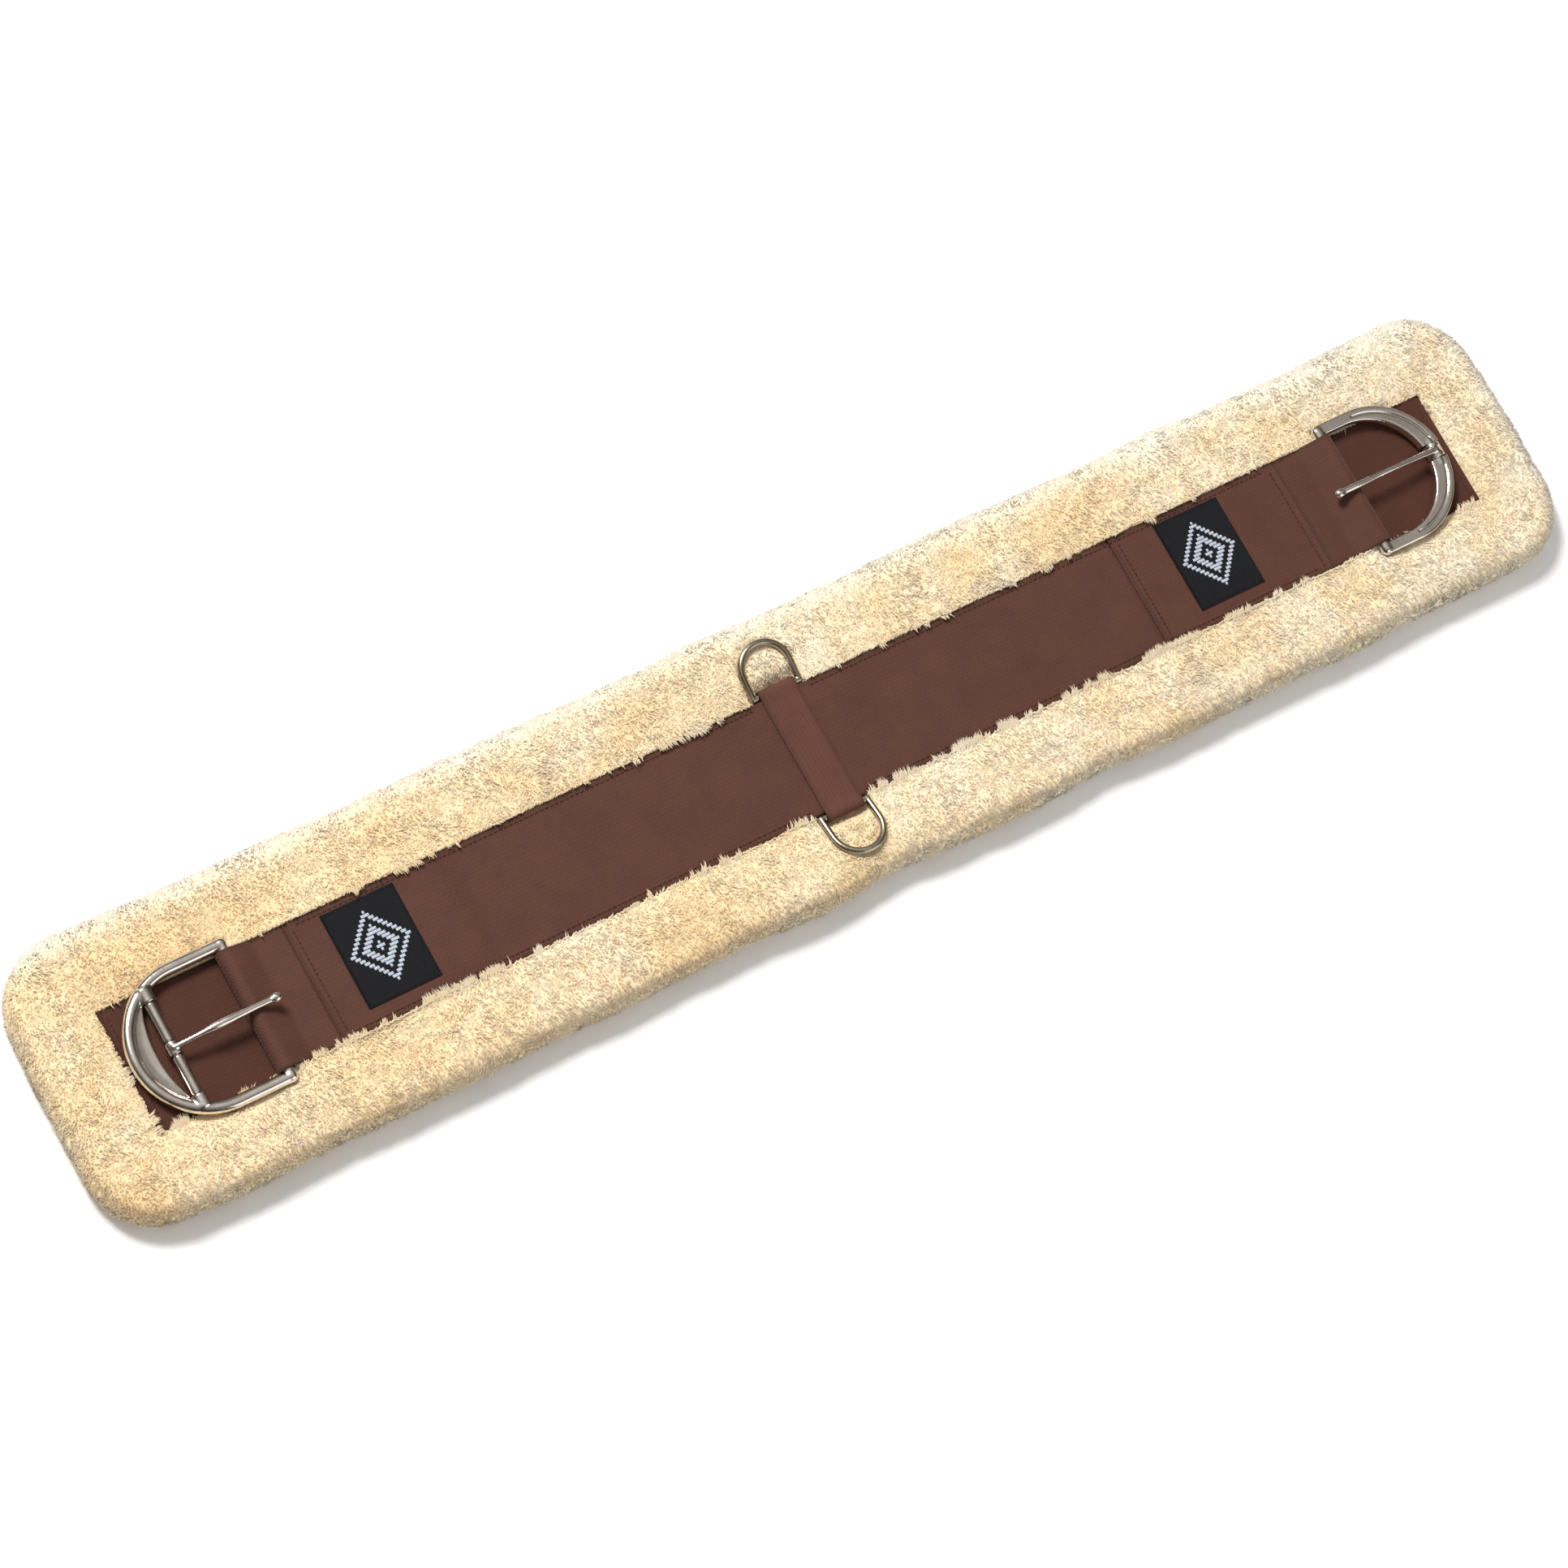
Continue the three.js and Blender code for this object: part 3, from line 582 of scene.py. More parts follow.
def pile_height(x, y):
    """Height of the fleece's upper surface."""
    gap = web_gap(x, y)
    rise = np.sin(np.pi / 2 * np.clip((gap - 0.6) / SHOULDER, 0, 1))
    lip = web_top(x) + LIP_RISE
    beside = CHANNEL_Z + (lip - CHANNEL_Z) * smooth_step(gap, 0.05, 0.9)
    height = beside + (PAD_TOP - 0.8 - lip) * rise
    height = np.minimum(height, keeper_low[2] - 0.6 + 1.1 * np.maximum(keeper_gap(x, y) - 0.3, 0))
    return np.minimum(height, under_metal(x, y, PILE_ROOM))


TUFT_REACH = 3  # how far the wool's locks stand out from its body
BODY_INSET = 1.2  # how far the wool's body lies inside the pad's upper and lower faces
RIM_REACH = 13  # how far in from its outline the pad's edge is rounded
RIM_STEPS = 22
TURN_STEPS = 26  # round each of the pad's corners
GRID_STEP = 1.75


def rim_profile(reach, low, high, steps, corner):
    """(distance in from the outline, height, outward share, upward share) from top to bottom."""
    angles = np.linspace(np.pi / 2, -np.pi / 2, steps + 1)
    middle, half = (high + low) / 2, (high - low) / 2
    bend = np.stack(
        [
            reach * (1 - np.cos(angles) ** 0.8),
            middle + half * np.sign(np.sin(angles)) * np.abs(np.sin(angles)) ** 0.9,
            np.cos(angles),
            np.sin(angles),
        ],
        axis=1,
    )
    flat = np.arange(corner, reach + 0.5, -GRID_STEP)
    top = np.stack([flat, 0 * flat + high, 0 * flat, 0 * flat + 1], axis=1)
    under = np.stack([flat, 0 * flat + low, 0 * flat, 0 * flat - 1], axis=1)[::-1]
    return np.concatenate([top, bend, under])


def pad_lines(side, half_x, half_y, web_lines):
    """Grid lines in X, from the split outwards, and in Y, with some along the web's edges."""
    count = int(abs(side * half_x - SPLIT_X) / GRID_STEP)
    xs = np.linspace(SPLIT_X, side * half_x, count)
    ys = np.linspace(-half_y, half_y, int(2 * half_y / GRID_STEP))
    if web_lines:
        near_edge = np.array([-0.3, 0.3, 0.9, 1.8])
        xs = np.unique(np.concatenate([xs, side * (BASE_X + near_edge)]))[::side]
        ys = np.unique(np.concatenate([ys, WEB_Y + near_edge, -WEB_Y - near_edge]))
    return xs, ys


def half_pad(side, size, corner, low, high, reach, web_lines):
    """Points, outward directions and faces of half a rounded pad, open at the split."""
    half_x, half_y = size[0] - corner, size[1] - corner
    xs, ys = pad_lines(side, half_x, half_y, web_lines)
    turn = np.linspace(0, np.pi / 2, TURN_STEPS)[1:-1]
    long_edge = [(x, half_y, 0, 1) for x in xs]
    first_turn = [(side * half_x, half_y, side * math.sin(t), math.cos(t)) for t in turn]
    end_edge = [(side * half_x, y, side, 0) for y in ys[::-1]]
    second_turn = [(side * half_x, -half_y, side * math.cos(t), -math.sin(t)) for t in turn]
    other_edge = [(x, -half_y, 0, -1) for x in xs[::-1]]
    outline = np.array(long_edge + first_turn + end_edge + second_turn + other_edge)
    profile = rim_profile(reach, low, high, RIM_STEPS, corner)
    anchor, outward = outline[:, None, :2], outline[:, None, 2:]
    plan = anchor + outward * (corner - profile[None, :, :1])
    rim = np.dstack([plan, np.broadcast_to(profile[None, :, 1:2], plan.shape[:2] + (1,))])
    rim_normal = np.dstack([outward * profile[None, :, 2:3], 0 * plan[..., :1] + profile[None, :, 3:]])
    parts = [(rim, rim_normal, grid_faces(*rim.shape[:2]))]
    for height, up in ((high, 1), (low, -1)):
        centre = np.dstack([*np.meshgrid(xs, ys, indexing="ij"), np.full((len(xs), len(ys)), height)])
        normal = np.zeros_like(centre)
        normal[..., 2] = up
        parts.append((centre, normal, grid_faces(*centre.shape[:2])[:, ::up]))
    flat = [(part_points.reshape(-1, 3), [part_faces]) for part_points, _, part_faces in parts]
    points, faces = joined_parts(flat)
    normals = np.concatenate([part_normals.reshape(-1, 3) for _, part_normals, _ in parts])
    return welded(points, normals, np.concatenate(faces))


def welded(points, normals, faces):
    """The same surface with coincident points made one, and collapsed corners left out."""
    keys = np.round(points * 1000).astype(np.int64)
    _, first, where = np.unique(keys, axis=0, return_index=True, return_inverse=True)
    faces = where.reshape(-1)[faces]
    same = faces == np.roll(faces, 1, axis=1)
    quads = faces[same.sum(axis=1) == 0]
    folded = same.sum(axis=1) == 1
    triangles = faces[folded][~same[folded]].reshape(-1, 3)
    normals = normals[first]
    return points[first], normals / np.linalg.norm(normals, axis=1)[:, None], [quads, triangles]


def closed_at_split(faces):
    """Adds a cap over the open loop at the split."""
    steps = [np.stack([group, np.roll(group, -1, axis=1)], axis=-1).reshape(-1, 2) for group in faces]
    steps = set(map(tuple, np.concatenate(steps).tolist()))
    after = {end: start for start, end in steps if (end, start) not in steps}
    loop = [min(after)]
    while after[loop[-1]] != loop[0]:
        loop.append(after[loop[-1]])
    return [*faces, np.array([loop])]


def fleece_body(side):
    """Points, normals and faces of half the fleece cover, with its lumps and hollows."""
    rest = (PAD_X - TUFT_REACH, PAD_Y - TUFT_REACH)
    low, high = BODY_INSET, PAD_TOP - BODY_INSET
    points, normals, faces = half_pad(side, rest, PAD_CORNER - TUFT_REACH, low, high, RIM_REACH, True)
    middle = (low + high) / 2
    upper = points[:, 2] > middle
    room = (pile_height(points[:, 0], points[:, 1]) - middle) / (high - middle)
    points[upper, 2] = middle + ((points[:, 2] - middle) * room)[upper]
    gap = web_gap(points[:, 0], points[:, 1])
    free = np.where(upper, smooth_step(gap, 0.3, 4), 1)
    broad = 1.0 * lattice_noise(points, 60, 3) + 0.7 * lattice_noise(points, 24, 4)
    swirled = points + 1.6 * noise_vectors(points, 6, 41)
    lumps = 1.1 * curd_noise(swirled, 9, 5) + 0.75 * curd_noise(swirled, 4.6, 6) - 1.1
    sway = np.abs(normals[:, :2]).max(axis=1) * 1.8 * lattice_noise(points * [1, 1, 0], 48, 7)
    wires = np.minimum(dee_line(*points.T[:2]), frame_line(*points.T[:2]))
    calm = np.where(upper, smooth_step(wires, 2, 9), 1)
    matted = free * (1 - calm) * 0.5 * (curd_noise(swirled, 4.6, 8) - 1)
    points = points + normals * (free * calm * (broad + lumps) + matted + sway)[:, None]
    points[:, 2] = np.maximum(points[:, 2], 0.3)
    return points, normals, faces


def scattered(points, normals, faces, count, keep, rng):
    """Random places on a surface with their normals, where keep(places, normals) is true."""
    fans = [group[:, [0, i, i + 1]] for group in faces for i in range(1, group.shape[1] - 1)]
    corners = np.concatenate(fans)
    a, b, c = points[corners].transpose(1, 0, 2)
    middle, facing = (a + b + c) / 3, normals[corners].sum(axis=1)
    kept = keep(middle, facing / np.linalg.norm(facing, axis=1)[:, None])
    area = np.linalg.norm(np.cross(b - a, c - a), axis=1) * kept
    chosen = corners[rng.choice(len(corners), size=count, p=area / area.sum())]
    share = rng.dirichlet((1, 1, 1), size=count)[:, :, None]
    upward = (normals[chosen] * share).sum(axis=1)
    return (points[chosen] * share).sum(axis=1), upward / np.linalg.norm(upward, axis=1)[:, None]


LOCK = {"length": 3.3, "radius": 0.42, "lean": 0.5, "droop": 0.4, "sunk": 0.9, "softness": 0.34}
LOCK_CURL = {"reach": 0.14, "turn": 4}


def make_wool(name, roots, normals, leaning, rng, stretch=1.0, stand=0.72):
    """Small curled tapering locks of wool, three-sided and closed, that take light as one soft surface."""
    count = len(roots)
    sideways = leaning - (leaning * normals).sum(axis=1)[:, None] * normals
    first = np.cross(normals, rng.normal(0, 1, (count, 3)))
    first /= np.linalg.norm(first, axis=1)[:, None]
    second = np.cross(normals, first)
    long = stretch * LOCK["length"] * rng.uniform(0.65, 1.35, count)[:, None]
    thick = LOCK["radius"] * rng.uniform(0.75, 1.25, count)[:, None]
    phase = rng.uniform(0, 2 * np.pi, count)[:, None]

    def centre(share):
        curl = LOCK_CURL["reach"] * long * share * stand
        turn = phase + LOCK_CURL["turn"] * share
        rise = share - LOCK["droop"] * share**2
        path = stand * normals * rise + sideways * LOCK["lean"] * share**1.4
        return roots + path * long + curl * (first * np.cos(turn) + second * np.sin(turn))

    rings, facing = [], []
    for share, size, sunk in ((0.0, 1.0, LOCK["sunk"]), (0.58, 0.8, 0.0)):
        for k in range(3):
            around = phase + 2 * np.pi * k / 3
            spoke = first * np.cos(around) + second * np.sin(around)
            rings.append(centre(share) - sunk * normals + thick * size * spoke)
            facing.append(normals + LOCK["softness"] * spoke)
    points = cleared(np.stack([*rings, centre(1.0)], axis=1))
    facing = np.stack([*facing, normals], axis=1).reshape(-1, 3)
    start = (np.arange(count) * points.shape[1])[:, None, None]
    quads = start + np.array([[k, (k + 1) % 3, (k + 1) % 3 + 3, k + 3] for k in range(3)])
    triangles = start + np.array([*([k + 3, (k + 1) % 3 + 3, 6] for k in range(3)), [2, 1, 0]])
    faces = [quads.reshape(-1, 4), triangles.reshape(-1, 3)]
    wool = new_object(name, points.reshape(-1, 3), faces, fleece)
    facing /= np.linalg.norm(facing, axis=1)[:, None]
    wool.data.normals_split_custom_set_from_vertices(facing.tolist())
    return wool


def combed(roots, rng):
    """Directions that neighbouring locks lean in, alike but not the same."""
    shared = 0.9 * noise_vectors(roots, 12, 21) + 0.6 * noise_vectors(roots, 4, 31)
    return shared + rng.normal(0, 0.25, roots.shape)


def cleared(rings):
    """Locks lifted where they hang over the webbing, pressed under the metal, and kept off the floor."""
    x, y, z = np.moveaxis(rings, -1, 0)
    over_web = (web_gap(x, y) < 0.5) & (z > base_low[2])
    lift = np.where(over_web, web_top(x) + 0.35 - z, 0).clip(0).max(axis=1)
    z[:, 3:] += lift[:, None]
    z = np.minimum(z, under_metal(x, y, LOCK_ROOM))
    return np.stack([x, y, np.maximum(z, 0.05)], axis=-1)


LOCKS_EACH = 19000
EDGE_LOCKS = 2600
PRESSED_LOCKS = 3400
PRESSED = 1.0  # how far out from resting metal the pile lies flat
STANDING = 0.8  # how far out from it the standing wool begins


def metal_gap(places):
    """Distance in plan to the metal that rests on the pile."""
    x, y = places.T[:2]
    return np.minimum(dee_line(x, y) - DEE["wire"], frame_line(x, y) - HEEL_R)


def open_pile(places, room):
    """Where the pile is this far from the resting metal and the keeper, and clear of the webbing."""
    x, y = places.T[:2]
    return (web_gap(x, y) > 0.5) & (metal_gap(places) > room) & (keeper_gap(x, y) > room + 0.6)


def pressed_pile(places, up):
    """Where the metal's weight has laid the pile down."""
    x, y = places.T[:2]
    near_metal = (metal_gap(places) <= PRESSED) & (up[:, 2] > 0.3)
    return near_metal & (web_gap(x, y) > 0.7) & (keeper_gap(x, y) > 1.4)


WOOL_AREAS = {
    "front_wool": lambda at, up: open_pile(at, STANDING) & (up[:, 2] > 0.6) & (at[:, 1] <= 0),
    "rear_wool": lambda at, up: open_pile(at, STANDING) & (up[:, 2] > 0.6) & (at[:, 1] > 0),
    "rim_wool": lambda at, up: open_pile(at, STANDING) & (np.abs(up[:, 2]) <= 0.8),
    "under_wool": lambda at, up: up[:, 2] < -0.6,
}


def make_fleece(side):
    name = SIDE_NAMES[side]
    points, normals, faces = fleece_body(side)
    body = new_object(f"{name}_fleece", points, closed_at_split(faces), fleece)
    made = [body]
    for number, (area, keep) in enumerate(WOOL_AREAS.items()):
        rng = np.random.default_rng(100 + number + 10 * (side > 0))
        roots, upward = scattered(points, normals, faces, LOCKS_EACH, keep, rng)
        made.append(make_wool(f"{name}_{area}", roots, upward, combed(roots, rng), rng))
    made.append(make_edge_wool(side, points, normals, faces))
    made.append(make_pressed_wool(side, points, normals, faces))
    for piece in made:
        across_flex(piece)
    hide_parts(f"fleece_cover_{name}")


def make_edge_wool(side, points, normals, faces):
    """Tufts beside the webbing that hang over its edge here and there, most of all along the front."""
    name = SIDE_NAMES[side]
    rng = np.random.default_rng(140 + (side > 0))

    def beside_web(at, up):
        gap = web_gap(*at.T[:2])
        flat = at * [1, 1, 0]
        clumps = lattice_noise(flat, 15, 51) + 0.5 * lattice_noise(flat, 5, 52)
        tufted = clumps + 0.7 * lattice_noise(flat, 1.6, 53)
        often = np.where(at[:, 1] < 0, 0.25, 0.8)
        return open_pile(at, 2.5) & (up[:, 2] > 0.3) & (gap > 0.8) & (gap < 3.4) & (tufted > often)

    roots, upward = scattered(points, normals, faces, EDGE_LOCKS, beside_web, rng)
    inward = np.stack([np.zeros(len(roots)), -np.sign(roots[:, 1]), np.zeros(len(roots))], axis=1)
    past_end = np.abs(roots[:, 0]) > BASE_X
    inward[past_end] = [-side, 0, 0]
    leaning = 2.1 * inward + 0.7 * combed(roots, rng)
    return make_wool(f"{name}_edge_wool", roots, upward, leaning, rng, stretch=1.05, stand=0.9)


def make_pressed_wool(side, points, normals, faces):
    """Locks that lie flat under the buckle's frame and the dees."""
    rng = np.random.default_rng(160 + (side > 0))
    roots, upward = scattered(points, normals, faces, PRESSED_LOCKS, pressed_pile, rng)
    name = f"{SIDE_NAMES[side]}_pressed_wool"
    return make_wool(name, roots, upward, 2.2 * combed(roots, rng), rng, stand=0.12)


def across_flex(piece):
    """Bakes the piece's placement into its mesh."""
    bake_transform(piece)


def make_felt(side):
    name = SIDE_NAMES[side]
    size = (CORE["x"], CORE["y"])
    points, _, faces = half_pad(side, size, CORE["corner"], CORE["low"], CORE["high"], 1.5, False)
    core = new_object(f"{name}_felt", points, closed_at_split(faces), felt)
    across_flex(core)
    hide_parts(f"felt_core_{name}")


# ---- Webbing ----
def flat_section(width, thickness, pitch, relief, edge_steps=5, step=0.55):
    """Closed outline of a woven strap's section: (across, through) points, with lengthwise cords."""
    radius = thickness / 2
    flat = width / 2 - radius
    across = np.linspace(-flat, flat, int(2 * flat / step))
    cords = relief * np.cos(2 * np.pi * across / pitch) * smooth_step(flat - np.abs(across), 0, 1.5)
    under = np.stack([across, -radius - cords], axis=1)
    over = np.stack([across[::-1], radius + cords[::-1]], axis=1)
    angles = np.linspace(-np.pi / 2, np.pi / 2, edge_steps + 2)[1:-1]
    right = np.stack([flat + radius * np.cos(angles), radius * np.sin(angles)], axis=1)
    left = np.stack([-flat - radius * np.cos(angles), -radius * np.sin(angles)], axis=1)
    return np.concatenate([under, right, over, left])


def settle(points):
    """Sewn layers with the slow waves that stitching gives them, flat near the buckles."""
    flat = np.stack([points[:, 0], points[:, 1], np.zeros(len(points))], axis=1)
    wave = 0.22 * lattice_noise(flat, 46, 11) + 0.1 * lattice_noise(flat, 17, 12)
    fade = smooth_step(LIFT_X - np.abs(points[:, 0]), 0, 40)
    fade *= smooth_step(np.abs(points[:, 0] - DEE_X), 16, 60)
    return points + Z * (wave * fade)[:, None]


def sweep(path, section, across):
    """Closed mesh of a section carried along a path, with caps at both ends."""
    path = np.array(path, float)
    along = np.gradient(path, axis=0)
    along /= np.linalg.norm(along, axis=1)[:, None]
    through = np.cross(along, across)
    points = path[:, None, :] + section[None, :, :1] * across + section[None, :, 1:] * through[:, None, :]
    count = len(section)
    faces = grid_faces(len(path), count, closed_columns=True)
    caps = np.stack([np.arange(count)[::-1], (len(path) - 1) * count + np.arange(count)])
    return points.reshape(-1, 3), [faces, caps]


def level_path(start, end, z, step=3.0):
    """Points from one X to another at height z(x)."""
    xs = np.linspace(start, end, max(2, int(abs(end - start) / step)))
    return np.stack([xs, 0 * xs, z(xs)], axis=1)


WEB_SECTION = flat_section(2 * WEB_Y, STRAP_THICKNESS, 2.4, 0.05)
BASE_SECTION = flat_section(2 * WEB_Y, BASE_THICKNESS, 2.4, 0.05)
STEP_RUN = 14  # length over which the strap comes down off its near tail


def strap_z(x):
    """Height of the main strap's middle: over its own tail at the near end, and below elsewhere."""
    high = smooth_step(-x, NEAR_TAIL_X - STEP_RUN, NEAR_TAIL_X)
    return LOWER_Z + (UPPER_Z - LOWER_Z) * high


def make_strap_layers(side):
    name = SIDE_NAMES[side]
    level_base = level_path(side * BASE_X, SPLIT_X, lambda x: 0 * x + BASE_Z)
    base = new_object(f"{name}_base_web", *sweep(level_base, BASE_SECTION, Y), shaded_base_webbing)
    main_path = level_path(side * LIFT_X, SPLIT_X, strap_z)
    main = new_object(f"{name}_main_strap", *sweep(main_path, WEB_SECTION, Y), webbing)
    for piece, node in {base: f"base_web_{name}", main: f"main_strap_{name}"}.items():
        settled(piece)
        across_flex(piece)
        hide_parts(node)
    tail_z, tail_x = (LOWER_Z, NEAR_TAIL_X) if side == NEAR else (UPPER_Z, OFF_TAIL_X)
    tail_path = level_path(side * LIFT_X, side * tail_x, lambda x: 0 * x + tail_z)
    tail = settled(new_object(f"{name}_tail", *sweep(tail_path, WEB_SECTION, Y), webbing))
    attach(tail, name + "_span")
    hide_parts(f"{name}_strap_tail")


def settled(piece):
    points = np.array([v.co for v in piece.data.vertices]) / MM
    piece.data.vertices.foreach_set("co", (settle(points) * MM).astype(np.float32).ravel())
    piece.data.update()
    return piece


def make_loop(side):
    """The strap's free end: out on its lower layer, round the heel bar and back on its upper one."""
    name = SIDE_NAMES[side]
    close = HEEL_X - CLOSE_REACH
    drop = HEEL_Z - UPPER_Z
    away = math.atan2(-drop, -CLOSE_REACH)
    leave = away + 2 * math.pi - math.acos(FOLD_R / math.hypot(CLOSE_REACH, drop))
    turn = np.linspace(-np.pi / 2, leave, 26)
    fold = [(HEEL_X + FOLD_R * math.cos(a), 0, HEEL_Z + FOLD_R * math.sin(a)) for a in turn]
    out_z = HEEL_Z - FOLD_R
    first_x = LIFT_X + 0.2
    out_x = np.linspace(first_x, HEEL_X - 0.8, 16)
    outward = [(x, 0, LOWER_Z + (out_z - LOWER_Z) * smooth_step(x, close, HEEL_X)) for x in out_x]
    ramp = [np.array(fold[-1]) * (1 - t) + np.array([close, 0, UPPER_Z]) * t for t in (0.2, 0.4, 0.6, 0.8)]
    back = [(x, 0, UPPER_Z) for x in np.linspace(close, first_x, 9)]
    path = np.array([*outward, *fold, *ramp, *back])
    path[:, 0] *= side
    loop = new_object(f"{name}_loop", *sweep(path, WEB_SECTION, Y), webbing)
    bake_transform(loop)
    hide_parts(f"{name}_buckle_loop")


KEEPER_THICKNESS = 1.4
KEEPER_HOOK_R = DEE["wire"] + CLEARANCE + KEEPER_THICKNESS / 2


def make_keeper():
    """The cross strap, hooked round the straight bars of both dees."""
    width = keeper_high[0] - keeper_low[0]
    top = lower_high[2] + CLEARANCE + KEEPER_THICKNESS / 2
    turn = np.radians(np.linspace(-150, 90, 18))
    hook = [(DEE_X, DEE_Y + KEEPER_HOOK_R * math.cos(a), DEE_Z + KEEPER_HOOK_R * math.sin(a)) for a in turn]
    over_y = np.linspace(DEE_Y - 2.5, 0, 14)
    over = [(DEE_X, y, top + (hook[-1][2] - top) * smooth_step(y, WEB_Y - 5, DEE_Y)) for y in over_y]
    half = np.array([*hook, *over])
    path = np.concatenate([half, half[-2::-1] * [1, -1, 1]])
    section = flat_section(width, KEEPER_THICKNESS, 2.6, 0.08, step=0.4)
    keeper = new_object("centre_keeper", *sweep(path, section, X), keeper_webbing)
    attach(keeper, "centre")
    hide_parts("dee_keeper")


# ---- Stitching ----
STITCH = {"pitch": 3.4, "length": 2.5, "radius": 0.38}
STITCH_INSET = {"long edge": 3.6, "end": 4}  # distance from the web's edge to the stitches along it
LABEL_STITCH = {"pitch": 2.4, "radius": 0.24, "inset": 1.3}


def stitch_shape(start, end, height, radius):
    """Points and faces of one stitch: a thread that rises out of the cloth, lies on it and dives in."""
    start, end = np.array(start, float), np.array(end, float)
    shares = np.array([0.0, 0.12, 0.5, 0.88, 1.0])
    lift = np.array([-0.5, 0.1, 0.3, 0.1, -0.5]) * radius * 1.6
    path = start + np.outer(shares, end - start) + np.outer(lift + height, Z)
    angles = np.linspace(0, 2 * np.pi, 7)[:-1]
    section = radius * np.stack([np.cos(angles), np.sin(angles)], axis=1)
    across = np.cross(Z, end - start)
    return sweep(path, section, across / np.linalg.norm(across))


def stitch_row(name, start, end, height, nodes=()):
    """A row of stitches from one place to another, on cloth of the given height at each place."""
    start, end = np.array(start, float), np.array(end, float)
    run = np.linalg.norm(end - start)
    along = (end - start) / run
    count = int(run / STITCH["pitch"])
    parts = []
    for number in range(count):
        first = start + along * STITCH["pitch"] * number
        last = first + along * STITCH["length"]
        middle = (first + last) / 2
        parts.append(stitch_shape(first, last, height(middle[0]), STITCH["radius"]))
    row = settled(new_object(name, *joined_parts(parts), thread))
    if nodes:
        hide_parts(*nodes)
    return row


def cloth_top(x):
    """Height of the webbing's upper face at one place."""
    if abs(x) > HEEL_X:
        return base_high[2]
    if x > OFF_TAIL_X or x < -NEAR_TAIL_X:
        return STRAP_TOP
    return strap_z(x) + STRAP_THICKNESS / 2


def make_stitching():
    crossing = {
        "near_stitch_row": (NEAR, "near_end_stitches"),
        "off_stitch_row": (OFF, "off_end_stitches"),
        "off_tail_stitch_row": (OFF, "off_tail_stitches"),
    }
    for node, (side, name) in crossing.items():
        low, high = node_box(node)
        x = (low[0] + high[0]) / 2
        row = stitch_row(name, (x, low[1], 0), (x, high[1], 0), cloth_top, [node])
        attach(row, SIDE_NAMES[side] + "_span")
    inset = WEB_Y - STITCH_INSET["long edge"]
    for side, name in SIDE_NAMES.items():
        first, last = SPLIT_X + side * 20, side * (LIFT_X - 6)
        for edge, edge_name in EDGE_NAMES.items():
            ends = (first, edge * inset, 0), (last, edge * inset, 0)
            row = stitch_row(f"{name}_{edge_name}_stitches", *ends, cloth_top)
            across_flex(row)
        x = side * (BASE_X - STITCH_INSET["end"])
        row = stitch_row(f"{name}_web_end_stitches", (x, -inset, 0), (x, inset, 0), cloth_top)
        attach(row, name + "_span")


# ---- Labels ----
MOTIF = {"pitch": 1.85, "reach": 10, "rings": (0, 1, 4, 5, 6, 9, 10), "height": 0.28}


def pillow(low, high, z, height):
    """A low cushion of satin stitch over a rectangle, in millimetres."""
    low, high = np.array(low), np.array(high)
    corners = np.array([low, (high[0], low[1]), high, (low[0], high[1])])
    points = []
    for inset, rise in ((0.0, 0.0), (0.12, 0.7), (0.4, 1.0)):
        pulled = corners + inset * np.sign((low + high) / 2 - corners)
        points.append(np.column_stack([pulled, np.full(4, z + rise * height)]))
    top, base = np.array([[8, 9, 10, 11]]), np.array([[3, 2, 1, 0]])
    return np.concatenate(points), [grid_faces(3, 4, closed_columns=True)[:, ::-1], top, base]


def motif_runs():
    """The woven motif, a stepped diamond of nested rings: (row, first, last) for each run of stitches."""
    places = range(-MOTIF["reach"], MOTIF["reach"] + 1)
    for row in places:
        filled = [abs(row) + abs(column) in MOTIF["rings"] for column in places]
        edges = np.flatnonzero(np.diff([0, *filled, 0]))
        for first, last in edges.reshape(-1, 2) - MOTIF["reach"]:
            yield row, first, last


def make_label(side):
    name = SIDE_NAMES[side]
    low, high = node_box(f"{name}_label")
    middle, half = (low + high) / 2, (high - low) / 2
    section = flat_section(2 * half[1], high[2] - low[2], 1.0, 0.0, step=1.2)
    path = level_path(low[0], high[0], lambda x: 0 * x + middle[2], 2.0) + Y * middle[1]
    cloth = settled(new_object(f"{name}_woven_label", *sweep(path, section, Y), label))
    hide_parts(f"{name}_label")
    pitch = MOTIF["pitch"]
    parts = []
    for row, first, last in motif_runs():
        start = middle[:2] + pitch * np.array([first - 0.42, row * 1.15 - 0.5])
        end = middle[:2] + pitch * np.array([last - 0.58, row * 1.15 + 0.5])
        parts.append(pillow(start, end, high[2] - 0.05, MOTIF["height"]))
    motif = settled(new_object(f"{name}_label_motif", *joined_parts(parts), motif_thread))
    edge = stitch_frame(name, low, high)
    for piece in (cloth, motif, edge):
        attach(piece, name + "_span")


def stitch_frame(name, low, high):
    """Small stitches round a label."""
    (x0, y0), (x1, y1) = low[:2] + LABEL_STITCH["inset"], high[:2] - LABEL_STITCH["inset"]
    corners = [(x0, y0), (x1, y0), (x1, y1), (x0, y1)]
    parts = []
    for number, corner in enumerate(corners):
        start, end = np.array([*corner, 0.0]), np.array([*corners[(number + 1) % 4], 0.0])
        count = int(np.linalg.norm(end - start) / LABEL_STITCH["pitch"])
        for k in range(count):
            first, last = (start + (end - start) * (k + part) / count for part in (0.1, 0.85))
            parts.append(stitch_shape(first, last, high[2], LABEL_STITCH["radius"]))
    return settled(new_object(f"{name}_label_stitches", *joined_parts(parts), label))


